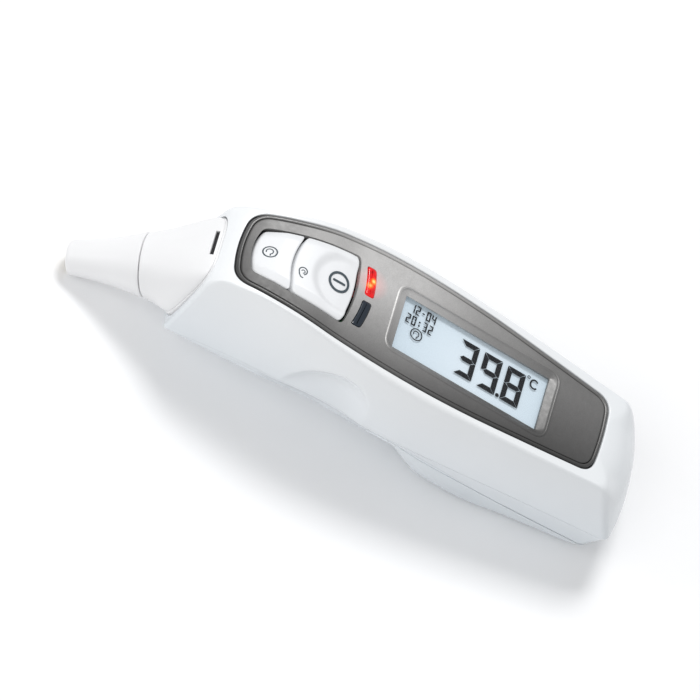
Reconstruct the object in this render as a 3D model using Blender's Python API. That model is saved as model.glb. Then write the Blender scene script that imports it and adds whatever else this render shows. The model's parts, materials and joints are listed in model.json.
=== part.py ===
"""Infrared ear thermometer lying on its back: casings, probe, control panel, keys and the electronics inside.

The body is drawn in its own frame, in millimetres: +X towards the tail, -Y the near side, +Z out of the
display. One empty, "body_frame", tilts that frame so that the battery cover's flat foot and the probe's tip
share a floor.
"""

import math

import bmesh
import bpy
import numpy as np
from mathutils import Vector

MM = 0.001
GAP = 0.3  # clearance between neighbouring pieces
WALL = 1.8

# Overall shape, millimetres in the body frame.
REST_TILT = math.radians(7.0)  # the floor rises towards the tail by this much
FLOOR_AT_ORIGIN = -34.4  # height of the floor under the display's centre
MIDDLE_SHIFT = 20.46  # puts the origin under the middle of the whole length
HEAD_X = -63.4
TAIL_X = 52.0

# Heights and half-widths along the body as (x, value) pairs, joined by smooth curves.
PANEL_HEIGHT = (
    (-66, -8.9), (-61, -6.2), (-56.5, -3.9), (-48, -1.2), (-41, 0.1), (-34, 0.45), (0, 0.5), (38, 0.1),
)
PANEL_HALF = (
    (-61, 8.9), (-48.4, 11.4), (-38.7, 13.1), (-29, 14.1), (-17, 14.5), (0, 13.9), (19, 12.0), (36, 10.0),
)
RIDGE_HALF = (
    (-64, 10.6), (-52, 12.4), (-44, 14.0), (-34, 15.6), (-24, 16.5), (-14, 16.7), (8, 15.6), (41, 12.6),
)
EDGE_HALF = (
    (-63, 13.1), (-51, 14.4), (-35, 16.6), (-22, 18.2), (-8, 19.1), (6, 18.5), (22, 17.2), (51, 14.5),
)
EDGE_HEIGHT = (
    (-63, -29.9), (-51, -25.6), (-35, -20.6), (-22, -17.7), (-8, -15.9), (6, -14.8), (22, -14.1), (52, -13.8),
)
COVER_HALF = ((-9, 17.3), (5, 17.1), (15, 16.2), (25, 15.2), (36, 14.1), (50, 12.7))
COVER_HEIGHT = ((-8, -18.3), (9, -19.5), (25, -20.8), (50, -22.1))
FOOT_HALF = ((4, 5.5), (9, 8.3), (14, 10.2), (20, 11.6), (31, 10.9), (50, 9.2))

# Probe, nose and finger scoops.
BOW_SWELL = 2.0
SIDE_SWELL = 0.04
PROBE_TILT = math.radians(41.0)
SEAM_CENTRE = (-70.5, 0.0, -29.4)
SEAM_RADIUS = 7.6
FOOT_SCALE = 0.945  # the nose's foot against the casing's front opening
SCOOP_CENTRE_X = -25.5
SCOOP_HALF_LENGTH = 10.2
SCOOP_DEPTH = 3.2
SCOOP_HEIGHT = 12.5
PARTING_SINE = -0.78

# Keys, lamps and display, in the body frame.
WELL_HEAD_X, WELL_TAIL_X = -56.9, -32.6
KEY_HALF = ((-57, 5.8), (-46, 8.0), (-32, 9.6))
KEY_FOOT = -2.4  # underside of each key below the panel's surface
LAMP_X, LAMP_WIDTH, LAMP_INNER_Y, LAMP_OUTER_Y = -28.9, 2.2, 0.9, 8.2
RECESS_FLOOR = 0.0
WINDOW_HALF_LENGTH, WINDOW_HALF_WIDTH, WINDOW_CENTRE_X = 21.7, 8.7, 0.3

# Cells and boards.
CELL_LENGTH, CELL_NUB, CELL_RADIUS, CELL_Y, CELL_Z = 43.7, 0.8, 5.25, 5.6, -20.2
CELL_A_START, CELL_B_START = 3.2, 45.5
TRAY_FRONT, TRAY_TAIL = -1.4, 48.1
BOARD_TOP, BOARD_THICKNESS = -8.4, 1.2
COVER_HINGE = (-12.6, 0.0, -18.4)  # line across the body where the battery cover's hooks turn


def along(table, x):
    """Smooth value at x through (x, value) pairs: a cubic Hermite curve with finite-difference slopes."""
    xs = np.array([p[0] for p in table], float)
    values = np.array([p[1] for p in table], float)
    slopes = np.gradient(values, xs)
    x = np.clip(np.asarray(x, float), xs[0], xs[-1])
    i = np.clip(np.searchsorted(xs, x) - 1, 0, len(xs) - 2)
    step = xs[i + 1] - xs[i]
    t = (x - xs[i]) / step
    start = (2 * t**3 - 3 * t**2 + 1) * values[i] + (t**3 - 2 * t**2 + t) * step * slopes[i]
    end = (3 * t**2 - 2 * t**3) * values[i + 1] + (t**3 - t**2) * step * slopes[i + 1]
    return start + end


def floor_height(x):
    return FLOOR_AT_ORIGIN + np.asarray(x, float) * math.tan(REST_TILT)


# ---------------------------------------------------------------- outlines and rings


def bezier(a, control, b, count):
    t = np.linspace(0, 1, count + 1)[:, None]
    return (1 - t) ** 2 * a + 2 * t * (1 - t) * control + t**2 * b


def outline(tail, head, half, r_tail, r_head, counts, stations=None):
    """Half plan outline from the tail's middle round the near side to the head's middle.

    tail and head are (x at the middle, x at the corner); half gives the half-width at x. counts are the
    numbers of steps along the tail, each corner, the side and the head.
    """
    n_tail, n_corner, n_side, n_head = counts
    (tail_mid, tail_corner), (head_mid, head_corner) = tail, head
    w_tail, w_head = float(half(tail_corner)), float(half(head_corner))

    def end_line(mid, corner, w, y):
        return np.column_stack([mid + (corner - mid) * (y / w) ** 2, y])

    tail_pts = end_line(tail_mid, tail_corner, w_tail, np.linspace(0, w_tail - r_tail, n_tail + 1))
    x0, x1 = tail_corner - r_tail, head_corner + r_head
    xs = np.linspace(x0, x1, n_side + 1) if stations is None else x0 + (x1 - x0) * stations
    side_pts = np.column_stack([xs, half(xs)])
    head_pts = end_line(head_mid, head_corner, w_head, np.linspace(w_head - r_head, 0, n_head + 1))
    tail_arc = bezier(tail_pts[-1], np.array([tail_corner, w_tail]), side_pts[0], n_corner)
    head_arc = bezier(side_pts[-1], np.array([head_corner, w_head]), head_pts[0], n_corner)
    return np.vstack([tail_pts, tail_arc[1:-1], side_pts, head_arc[1:-1], head_pts])


def ring(half_outline, height):
    """Closed 3-D ring from a half outline: near side first, then its mirror image."""
    x, w = half_outline[:, 0], half_outline[:, 1]
    z = np.asarray(height(x), float) + np.zeros_like(x)
    near = np.column_stack([x, -w, z])
    return np.vstack([near, (near * (1, -1, 1))[-2:0:-1]])


def fillet_between(top, corner, bottom, reach_top, reach_bottom, counts):
    """Rings from top to bottom past the sharp corner ring, which is rounded within the two reaches."""
    n_top, n_fillet, n_side = counts
    up, down = top - corner, bottom - corner
    up_len = np.linalg.norm(up, axis=1, keepdims=True)
    down_len = np.linalg.norm(down, axis=1, keepdims=True)
    start = corner + up * np.minimum(1, np.asarray(reach_top).reshape(-1, 1) / up_len)
    end = corner + down * np.minimum(0.95, np.asarray(reach_bottom).reshape(-1, 1) / down_len)
    rings = [top + (start - top) * t for t in np.linspace(0, 1, n_top + 1)[:-1]]
    for t in np.linspace(0, 1, n_fillet + 1):
        rings.append((1 - t) ** 2 * start + 2 * t * (1 - t) * corner + t**2 * end)
    rings += [end + (bottom - end) * t for t in np.linspace(0, 1, n_side + 1)[1:]]
    return rings


def ring_faces(count, rings, closed):
    faces = []
    for k in range(rings if closed else rings - 1):
        a, b = k * count, ((k + 1) % rings) * count
        for i in range(count):
            j = (i + 1) % count
            faces.append((a + i, a + j, b + j, b + i))
    return faces


def cap_faces(start, count):
    """Faces across a ring that is symmetric about the middle plane, from near points to far points."""
    half = count // 2
    faces = [(start, start + 1, start + count - 1)]
    for i in range(1, half - 1):
        faces.append((start + i, start + i + 1, start + count - i - 1, start + count - i))
    faces.append((start + half - 1, start + half, start + half + 1))
    return faces


def from_rings(rings, closed=False):
    """Mesh data of a solid: a closed loop of rings, or a stack of rings capped at both ends."""
    count = len(rings[0])
    faces = ring_faces(count, len(rings), closed)
    if not closed:
        faces += cap_faces(0, count)
        faces += [tuple(reversed(f)) for f in cap_faces((len(rings) - 1) * count, count)]
    return np.vstack(rings), faces


def from_loops(loops):
    """Mesh data of a stack of loops with a flat many-sided face at each end."""
    count = len(loops[0])
    faces = ring_faces(count, len(loops), False)
    faces += [tuple(range(count)), tuple(range(len(loops) * count - 1, (len(loops) - 1) * count - 1, -1))]
    return np.vstack(loops), faces


# ---------------------------------------------------------------- objects and materials


def clear_scene():
    for obj in list(bpy.data.objects):
        bpy.data.objects.remove(obj, do_unlink=True)


def material(name, colour, roughness, metallic=0.0, alpha=1.0):
    made = bpy.data.materials.new(name)
    made.use_nodes = True
    shader = made.node_tree.nodes["Principled BSDF"]
    shader.inputs["Base Color"].default_value = (*colour, 1.0)
    shader.inputs["Roughness"].default_value = roughness
    shader.inputs["Metallic"].default_value = metallic
    shader.inputs["Alpha"].default_value = alpha
    return made


def finish_mesh(bm, name, finish, smooth_angle=35.0, origin=(0, 0, 0)):
    """Turns a bmesh drawn in body-frame millimetres into an object with its origin where asked."""
    bmesh.ops.recalc_face_normals(bm, faces=bm.faces)
    bmesh.ops.translate(bm, verts=bm.verts, vec=-Vector(origin))
    bmesh.ops.scale(bm, verts=bm.verts, vec=(MM, MM, MM))
    mesh = bpy.data.meshes.new(name)
    bm.to_mesh(mesh)
    bm.free()
    mesh.shade_smooth()
    mesh.set_sharp_from_angle(angle=math.radians(smooth_angle))
    mesh.materials.append(finish)
    obj = bpy.data.objects.new(name, mesh)
    bpy.context.scene.collection.objects.link(obj)
    obj.parent = body_frame
    obj.location = Vector(origin) * MM
    return obj


def mesh_object(name, data, finish, **options):
    points, faces = data
    bm = bmesh.new()
    verts = [bm.verts.new(p) for p in points]
    for face in faces:
        bm.faces.new([verts[i] for i in face])
    return finish_mesh(bm, name, finish, **options)


def box(name, low, high, finish, bevel=0.0, **options):
    bm = bmesh.new()
    bmesh.ops.create_cube(bm, size=1)
    low, high = Vector(low), Vector(high)
    bmesh.ops.scale(bm, verts=bm.verts, vec=high - low)
    bmesh.ops.translate(bm, verts=bm.verts, vec=(high + low) / 2)
    if bevel:
        bmesh.ops.bevel(bm, geom=bm.edges[:], offset=bevel, segments=1, affect="EDGES")
    return finish_mesh(bm, name, finish, **options)


def turned(name, profile, start, direction, finish, sides=24, bore=False, **options):
    """Solid of revolution: profile is (distance along the axis, radius) pairs, run as a loop when bored."""
    axis = Vector(direction).normalized()
    turn = Vector((0, 0, 1)).rotation_difference(axis).to_matrix()
    angles = np.linspace(0, 2 * np.pi, sides, endpoint=False)
    rings = []
    for distance, radius in profile:
        circle = [turn @ Vector((radius * math.cos(a), radius * math.sin(a), distance)) for a in angles]
        rings.append(np.array([tuple(Vector(start) + p) for p in circle]))
    faces = ring_faces(sides, len(rings), bore)
    if not bore:
        faces.append(tuple(range(sides)))
        faces.append(tuple(range(len(rings) * sides - 1, (len(rings) - 1) * sides - 1, -1)))
    return mesh_object(name, (np.vstack(rings), faces), finish, **options)


def cutter(name, data):
    made = mesh_object(name, data, NO_FINISH)
    made.hide_render = True
    made.display_type = "WIRE"
    return made


def helper_box(name, low, high):
    made = box(name, low, high, NO_FINISH)
    made.hide_render = True
    made.display_type = "WIRE"
    return made


def cut(obj, tool, operation="DIFFERENCE", solver="EXACT"):
    modifier = obj.modifiers.new("cut_" + tool.name, "BOOLEAN")
    modifier.operation = operation
    modifier.object = tool
    modifier.solver = solver


# ---------------------------------------------------------------- casings

SIDE_STATIONS = np.concatenate([
    np.linspace(0, 0.52, 11)[:-1], np.linspace(0.52, 0.8, 13)[:-1], np.linspace(0.8, 1, 6),
])
RING_COUNTS = (5, 3, len(SIDE_STATIONS) - 1, 4)
UNDER_COUNTS = (4, 3, 14, 3)


def scoop_depth(x, up):
    """Depth of a finger scoop; up is 0 at the casing's bottom edge and below it, and 1 at the scoop's top."""
    up = np.clip(up, 0, 1)
    reach = np.sqrt(1 - up**2.2) * SCOOP_HALF_LENGTH + 1e-6
    across = np.clip(1 - ((x - SCOOP_CENTRE_X) / reach) ** 2, 0, 1)
    rise = 1 - up
    return SCOOP_DEPTH * across * np.where(
        rise < 0.5, np.sin(np.pi * rise), 1 - 2.1 * np.clip(rise - 0.5, 0, 1) ** 1.5
    )


def scooped(rings):
    """Presses the finger scoops into rings, wherever they pass through the body's sides."""
    for points in rings:
        x, y, z = points.T
        up = (z - along(EDGE_HEIGHT, x)) / SCOOP_HEIGHT
        weight = np.where(up < 1, np.clip((np.abs(y) - 8) / 3, 0, 1), 0)
        points[:, 1] -= np.sign(y) * weight * scoop_depth(x, up)
    return rings


def swollen(rings):
    """Rounds the casing's sides outwards a little between the ridge and the bottom edge."""
    for points in rings:
        x, y, z = points.T
        low, high = along(EDGE_HEIGHT, x), along(PANEL_HEIGHT, x)
        h = np.clip((z - low) / (high - low), 0, 1)
        points[:, 1] *= 1 + SIDE_SWELL * 4 * h * (1 - h)
    return rings


def casing_rings(inset):
    """Rings of the front casing from the panel's hole over the ridge and down to the bottom edge."""
    hole_margin = 0.35 + 0.6 * inset
    hole = outline(
        (36.2 + hole_margin, 35.5 + hole_margin),
        (-60.0 - hole_margin, -58.8 - hole_margin),
        lambda x: along(PANEL_HALF, x) + hole_margin,
        3.6, 3.4, RING_COUNTS, SIDE_STATIONS,
    )
    ridge = outline(
        (45.5 - inset, 40.6 - inset),
        (HEAD_X - 0.2 + inset, HEAD_X - 0.2 + inset),
        lambda x: along(RIDGE_HALF, x) - inset,
        1.6, 1.0, RING_COUNTS, SIDE_STATIONS,
    )
    edge = outline(
        (TAIL_X - inset, 50.4 - inset),
        (-62.7 + inset, -62.4 + inset),
        lambda x: along(EDGE_HALF, x) - inset,
        1.6, 1.0, RING_COUNTS, SIDE_STATIONS,
    )
    top = ring(hole, lambda x: along(PANEL_HEIGHT, x) - inset)
    corner = ring(ridge, lambda x: along(PANEL_HEIGHT, x) + 0.3 - inset - 0.9 * np.clip((x - 40) / 5, 0, 1))
    bottom = ring(edge, lambda x: along(EDGE_HEIGHT, x))
    x = corner[:, 0]
    tail = np.clip((x - 40.5) / 4, 0, 1)
    head = np.clip((-50 - x) / 12, 0, 1)
    reach_top = 1.6 + 6.0 * tail + 2.0 * head
    reach_bottom = 1.9 + 5.5 * tail + 2.6 * head
    rings = fillet_between(top, corner, bottom, reach_top, reach_bottom, (1, 3, 6))
    rings = swollen(rings)
    return rings[:4] + scooped(rings[4:])


def front_wall_cutter():
    """Cuts the way for the nose through the casing's front wall, leaving its rim."""
    return cutter("front_wall_cutter", from_loops([collar_loop(x, 0.0) for x in (-70.0, -58.0)]))


def front_casing():
    outer = casing_rings(0)
    inner = casing_rings(WALL)
    casing = mesh_object("front_casing", from_rings(outer + inner[::-1], closed=True), WHITE_GLOSS)
    cut(casing, front_wall_cutter())
    return casing


def underside_ring(t, inset, drop=0.0):
    """Ring of the rear casing between its upper edge (t = 0) and the battery cover's opening (t = 1)."""
    edge = outline(
        (TAIL_X - 0.5 - inset, 50.0 - inset), (-59.5 + inset, -59.3 + inset),
        lambda x: along(EDGE_HALF, x) - 0.5 - inset, 1.6, 1.0, UNDER_COUNTS,
    )
    bay = outline(
        (50.3, 49.6), (-12.5, -7.0), lambda x: along(COVER_HALF, x), 3.0, 4.0, UNDER_COUNTS
    )
    top = ring(edge, lambda x: along(EDGE_HEIGHT, x) - 3 * GAP)
    low = ring(bay, lambda x: along(COVER_HEIGHT, x))
    points = top + (low - top) * t
    scooped([points])
    points[:, 2] += drop
    return points


def rear_casing():
    outer = [underside_ring(t, 0) for t in (0, 0.12, 0.35, 0.6, 0.8, 1)]
    inner = [underside_ring(t, WALL * (1 - t), WALL * t) for t in (1, 0.8, 0.6, 0.35, 0.12, 0)]
    return mesh_object("rear_casing", from_rings(outer + inner, closed=True), WHITE_GLOSS)


def bowed(rings):
    """Swells the cover's sides towards its head end, where the keel rises like a bow."""
    for points in rings:
        x, y, z = points.T
        top, floor = along(COVER_HEIGHT, x), floor_height(x)
        h = np.clip((z - floor) / (top - floor), 0, 1)
        points[:, 1] += np.sign(y) * BOW_SWELL * 4 * h * (1 - h) * np.clip((20 - x) / 15, 0, 1)
    return rings


def cover_rings(inset):
    """Rings of the battery cover from its parting line down to its flat foot."""
    part = outline(
        (50.3 - inset, 49.6 - inset), (-12.5 + inset, -7.0 + inset),
        lambda x: along(COVER_HALF, x) - inset, 3.0, 4.0, UNDER_COUNTS,
    )
    sharp = outline(
        (49.6 - inset, 48.8 - inset), (6.8 + inset, 9.0 + inset),
        lambda x: along(FOOT_HALF, x) - inset, 3.0, 5.0, UNDER_COUNTS,
    )
    foot = outline(
        (44.5, 44.0), (14.0, 15.0), lambda x: along(FOOT_HALF, x) - 3.0 - inset, 2.0, 4.0, UNDER_COUNTS
    )
    top = ring(part, lambda x: along(COVER_HEIGHT, x) - GAP)
    corner = ring(sharp, lambda x: floor_height(x) + inset)
    bottom = ring(foot, lambda x: floor_height(x) + inset)
    return bowed(fillet_between(top, corner, bottom, 5.0, 2.9, (3, 3, 1)))


def battery_cover():
    outer = cover_rings(0)
    inner = cover_rings(1.6)
    inner[0][:, 2] = outer[0][:, 2]
    return mesh_object("battery_cover", from_rings(outer[::-1] + inner), WHITE_GLOSS, origin=COVER_HINGE)


# ---------------------------------------------------------------- nose and probe

PROBE_DIRECTION = Vector((-math.cos(PROBE_TILT), 0.0, -math.sin(PROBE_TILT)))
PROBE_UP = Vector((-math.sin(PROBE_TILT), 0.0, math.cos(PROBE_TILT)))
NOSE_SIDES = 40
NOSE_ANGLES = np.linspace(0, 2 * np.pi, NOSE_SIDES, endpoint=False)


def collar_loop(x, inset, scale=1.0):
    """Rounded opening of the casing's front, as a loop in the plane at x; angle 90 degrees is its top."""
    c, s = np.cos(NOSE_ANGLES), np.sin(NOSE_ANGLES)
    power = 2 / 4.2
    across = np.sign(c) * np.abs(c) ** power
    up = np.sign(s) * np.abs(s) ** power
    y = across * (10.8 - 1.1 * up - inset) * scale
    z = -19.6 + up * (11.0 - inset) * scale
    return np.column_stack([np.full_like(y, x), y, z])


def seam_loop(radius, distance=0.0):
    c, s = np.cos(NOSE_ANGLES)[:, None], np.sin(NOSE_ANGLES)[:, None]
    centre = np.array(SEAM_CENTRE) + np.array(PROBE_DIRECTION) * distance
    return centre + radius * (c * np.array([0.0, 1.0, 0.0]) + s * np.array(PROBE_UP))


def nose_rings(inset, count):
    """Rings of the nose from its foot on the collar to the seam with the probe."""
    foot = collar_loop(HEAD_X - 0.1 + inset, inset, FOOT_SCALE)
    seam = seam_loop(SEAM_RADIUS - inset)
    back = (1.2 + 5.2 * (1 + np.sin(NOSE_ANGLES)) / 2)[:, None]
    lead_out = foot + np.array([-2.4, 0, -0.4])
    lead_in = seam - np.array(PROBE_DIRECTION) * back + (seam - seam.mean(0)) * 0.08
    rings = []
    for t in np.linspace(0, 1, count + 1):
        rings.append(
            (1 - t) ** 3 * foot + 3 * t * (1 - t) ** 2 * lead_out + 3 * t**2 * (1 - t) * lead_in + t**3 * seam
        )
    return rings


def pulled_in(points, margin):
    """Moves the two end points of a row towards their neighbours, to leave a parting gap."""
    points = points.copy()
    points[0] += (points[1] - points[0]) * margin
    points[-1] += (points[-2] - points[-1]) * margin
    return points


def nose_shell(name, picked, margin, finish):
    """Part of the collar and nose: the picked columns of its rings, as a shell of even thickness."""
    outer = [collar_loop(-60.0, GAP), collar_loop(HEAD_X + 0.3, GAP), collar_loop(HEAD_X, 0.7)]
    outer += nose_rings(0, 8)
    inner = [collar_loop(-60.0, 3.0), collar_loop(HEAD_X + 1.4, 3.0), collar_loop(HEAD_X + 1.4, 3.0)]
    inner += nose_rings(1.5, 8)
    loops = []
    for out_ring, in_ring in zip(outer, inner):
        out_row, in_row = pulled_in(out_ring[picked], margin), pulled_in(in_ring[picked], margin)
        loops.append(np.vstack([out_row, in_row[::-1]]))
    return mesh_object(name, from_loops(loops), finish)


def slot_block(half_length, half_width, bottom, top):
    """Block along the nose's upright normal, at the short slot behind the collar."""
    tangent, normal = np.array([-0.75, 0.0, -0.66]), np.array([-0.66, 0.0, 0.75])
    loops = []
    for lift in (bottom, top):
        middle = np.array([-64.45, 0.0, -9.72]) + normal * lift
        loops.append([
            middle + tangent * a * half_width + np.array([0.0, b * half_length, 0.0])
            for a, b in ((1, 1), (1, -1), (-1, -1), (-1, 1))
        ])
    return from_loops([np.array(loop) for loop in loops])


def nose():
    """Upper shell of the nose, and the shell below the parting line that runs from collar to seam."""
    half = int(np.sum(np.sin(NOSE_ANGLES) < PARTING_SINE)) // 2
    rest = NOSE_SIDES // 2 - half
    below = [(3 * NOSE_SIDES // 4 + k) % NOSE_SIDES for k in range(-half, half + 1)]
    above = [(NOSE_SIDES // 4 + k) % NOSE_SIDES for k in range(-rest, rest + 1)]
    nose_shell("nose_under_shell", below, 0.55, WHITE_SATIN)
    housing = nose_shell("probe_housing", above, 0.0, WHITE_SATIN)
    cut(housing, cutter("slot_cutter", slot_block(3.4, 0.48, -4.0, 2.0)))


def probe_nozzle():
    outer = [
        (GAP, 7.5), (1.2, 7.25), (5.0, 6.25), (9.5, 5.25), (14.0, 4.5), (17.6, 4.1), (18.3, 3.8), (18.6, 3.2),
    ]
    inner = [(18.6, 2.7), (14.0, 2.9), (9.5, 3.6), (5.0, 4.8), (GAP, 6.0)]
    return turned("probe_nozzle", outer + inner, SEAM_CENTRE, PROBE_DIRECTION, WHITE_SATIN, 32, bore=True)


# ---------------------------------------------------------------- panel, keys, lamps, window


def plate(
    name, half_outline, top_offset, bottom_offset, finish, extra=(), helper=False, flat_ends=False, **options
):
    """Plate that follows the panel's height; extra holds (outline, offset) rings above the top one.

    flat_ends closes it with one face at each end, for an outline that isn't convex.
    """

    def height(offset):
        return lambda x: along(PANEL_HEIGHT, x) + offset

    rings = [ring(half_outline, height(bottom_offset)), ring(half_outline, height(top_offset))]
    rings += [ring(loop, height(offset)) for loop, offset in extra]
    data = from_loops(rings) if flat_ends else from_rings(rings)
    return cutter(name, data) if helper else mesh_object(name, data, finish, **options)


def flat_rings(half_outline, heights):
    return [ring(half_outline, lambda x, z=z: z + 0 * x) for z in heights]


def key_outline(tail, head, inset, counts=(3, 2, 8, 3)):
    return outline(
        (tail[0] - inset, tail[1] - inset), (head[0] + inset, head[1] + inset),
        lambda x: along(KEY_HALF, x) - inset, 1.0, 1.2, counts,
    )


def lamp_loop(side, inset):
    steps = np.linspace(LAMP_INNER_Y + inset, LAMP_OUTER_Y - inset, 7)
    middle = LAMP_X - 1.2 * (steps / LAMP_OUTER_Y) ** 2
    half = LAMP_WIDTH / 2 - inset
    xs = np.concatenate([middle - half, (middle + half)[::-1]])
    return xs, side * np.concatenate([steps, steps[::-1]])


def lamp_data(side, inset, low, high):
    xs, ys = lamp_loop(side, inset)
    base = float(along(PANEL_HEIGHT, LAMP_X))
    rings = [np.column_stack([xs, ys, np.full_like(xs, base + z)]) for z in (low, high)]
    count = len(xs)
    faces = ring_faces(count, 2, False) + [tuple(range(count)), tuple(range(2 * count - 1, count - 1, -1))]
    return np.vstack(rings), faces


def window_outline(inset, radius=1.6):
    length, width = WINDOW_HALF_LENGTH - inset, WINDOW_HALF_WIDTH - inset
    x0, x1 = WINDOW_CENTRE_X + length, WINDOW_CENTRE_X - length
    return outline((x0, x0), (x1, x1), lambda x: width + 0 * np.asarray(x), radius, radius, (1, 3, 1, 1))


def control_panel():
    shape = outline(
        (36.2, 35.5), (-60.0, -58.8), lambda x: along(PANEL_HALF, x), 3.4, 3.2, (3, 3, 22, 3)
    )
    inner = outline(
        (35.8, 35.1), (-59.6, -58.4), lambda x: along(PANEL_HALF, x) - 0.4, 3.2, 3.0, (3, 3, 22, 3)
    )
    panel = plate("control_panel", shape, -0.15, -1.5, PANEL_GREY, [(inner, 0.1)])
    well = key_outline((-32.3, -33.7), (WELL_HEAD_X - GAP, -56.0), -GAP)
    cut(panel, plate("well_cutter", well, 3.0, -6.0, NO_FINISH, helper=True), solver="MANIFOLD")
    recess = from_rings(flat_rings(window_outline(0), (RECESS_FLOOR, 3.0)))
    opening = from_rings(flat_rings(window_outline(1.8, 0.8), (-6.0, 3.0)))
    cut(panel, cutter("recess_cutter", recess), solver="MANIFOLD")
    cut(panel, cutter("window_cutter", opening), solver="MANIFOLD")
    for side, label in ((1, "far"), (-1, "near")):
        cut(panel, cutter(f"lamp_cutter_{label}", lamp_data(side, -GAP, -6.0, 3.0)), solver="MANIFOLD")
    return panel


def keys():
    """Two keys, each a crowned cap with sloping sides that is pressed straight down."""
    for name, tail, head, crown in (
        ("forehead_key", (-48.7, -47.2), (WELL_HEAD_X, -55.7), 1.1),
        ("ear_key", (WELL_TAIL_X, -34.0), (-48.1, -46.6), 0.9),
    ):
        middle = (tail[0] + head[0]) / 2
        foot = float(along(PANEL_HEIGHT, middle)) + KEY_FOOT
        plate(
            name, key_outline(tail, head, 0), 0.0, KEY_FOOT, KEY_WHITE,
            [(key_outline(tail, head, 1.6), crown)], flat_ends=True, origin=(middle, 0, foot),
        )


def panel_fittings():
    mesh_object("red_lamp_window", lamp_data(1, 0, -1.6, 0.15), LAMP_RED)
    mesh_object("green_lamp_window", lamp_data(-1, 0, -1.6, 0.15), LAMP_DARK)
    pane = from_rings(flat_rings(window_outline(2.1, 0.6), (-1.2, RECESS_FLOOR)))
    mesh_object("display_window", pane, CLEAR)


# ---------------------------------------------------------------- electronics


def display_stack():
    box("lcd_cell", (-20.6, -8.2, -3.3), (21.2, 8.2, -1.7), LCD_GREY)
    box("lcd_backlight", (-20.6, -7.6, -5.0), (21.2, 8.2, -3.6), PLASTIC_CLEAR_WHITE)
    box("zebra_connector", (-19.0, -9.9, BOARD_TOP + GAP), (19.6, -8.5, -1.9), RUBBER_GREY)
    frame = box("lcd_frame", (-23.2, -11.6, BOARD_TOP + GAP), (23.8, 11.6, -1.7), PLASTIC_BLACK)
    cut(frame, helper_box("lcd_frame_cutter", (-21.2, -10.3, -9), (21.8, 10.3, 0)))


def main_board():
    z1 = BOARD_TOP
    half = ((-54, 8.2), (-42, 10.2), (-20, 11.1), (10, 11.1), (32, 10.4))
    shape = outline((32, 32), (-54, -54), lambda x: along(half, x), 1.0, 1.0, (1, 1, 8, 1))
    mesh_object("main_board", from_rings(flat_rings(shape, (z1 - BOARD_THICKNESS, z1))), BOARD_GREEN)
    under = z1 - BOARD_THICKNESS - GAP / 3
    box("microcontroller", (-14, -5, under - 1.4), (-4, 5, under), CHIP_BLACK, bevel=0.15)
    box("clock_crystal", (2, -1.6, under - 2.2), (10, 1.6, under), STEEL, bevel=0.5)
    turned("buzzer", [(0, 5.6), (2.6, 5.6)], (-35, 0, under - 2.6), (0, 0, 1), CHIP_BLACK)
    for name, y, finish in (("red_led", 4.5, LED_RED), ("green_led", -4.5, LED_GREEN)):
        box(name, (-30.6, y - 1.4, z1 + 0.1), (-28.2, y + 1.4, z1 + 1.9), finish, bevel=0.2)
    box("lamp_baffle", (-31.6, -0.45, z1 + 0.1), (-27.4, 0.45, -1.6), PLASTIC_BLACK)


KEY_SWITCHES = (("forehead", -52.3), ("ear", -39.5))


def key_switches():
    """One tactile switch under each key; its plunger stands under the key's foot and travels with it."""
    for label, x in KEY_SWITCHES:
        foot = float(min(along(PANEL_HEIGHT, x - 1.2), along(PANEL_HEIGHT, x + 1.2))) + KEY_FOOT
        base = BOARD_TOP + 0.1
        body = box(f"{label}_switch_body", (x - 2.4, -2.4, base), (x + 2.4, 2.4, base + 1.5), STEEL)
        bore_height = base + 0.5
        hole = turned_cutter(f"{label}_switch_bore", 1.3, (x, 0, bore_height), 3.0)
        cut(body, hole)
        turned(
            f"{label}_switch_plunger", [(0, 1.0), (foot - GAP / 3 - bore_height - 0.8, 1.0)],
            (x, 0, bore_height + 0.8), (0, 0, 1), PLASTIC_BLACK, 16, origin=(x, 0, foot),
        )


def turned_cutter(name, radius, start, length):
    made = turned(name, [(0, radius), (length, radius)], start, (0, 0, 1), NO_FINISH, 16)
    made.hide_render = True
    made.display_type = "WIRE"
    return made


def along_probe(distance, side=0.0):
    return Vector(SEAM_CENTRE) + PROBE_DIRECTION * distance + Vector((0, side, 0))


def sensor_stack():
    """Sensor, its metal holder and the gold tube that leads the heat radiation in from the tip."""
    spec = (
        ("sensor_board", [(0, 4.7), (1.0, 4.7)], 3.0, BOARD_GREEN, False),
        ("sensor_holder", [(0, 3.9), (3.0, 3.5), (3.0, 2.7), (0, 2.7)], 4.3, BRASS, True),
        ("thermopile_can", [(0, 2.35), (4.0, 2.35), (4.0, 1.9), (4.4, 1.9)], 5.2, STEEL, False),
        ("waveguide_tube", [(0, 2.3), (8.0, 2.3), (8.0, 1.6), (0, 1.6)], 10.0, GOLD, True),
        ("tip_film", [(0, 1.5), (0.2, 1.5)], 17.9, CLEAR, False),
    )
    for name, profile, distance, finish, bored in spec:
        turned(name, profile, along_probe(distance), PROBE_DIRECTION, finish, 24, bore=bored)


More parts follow.
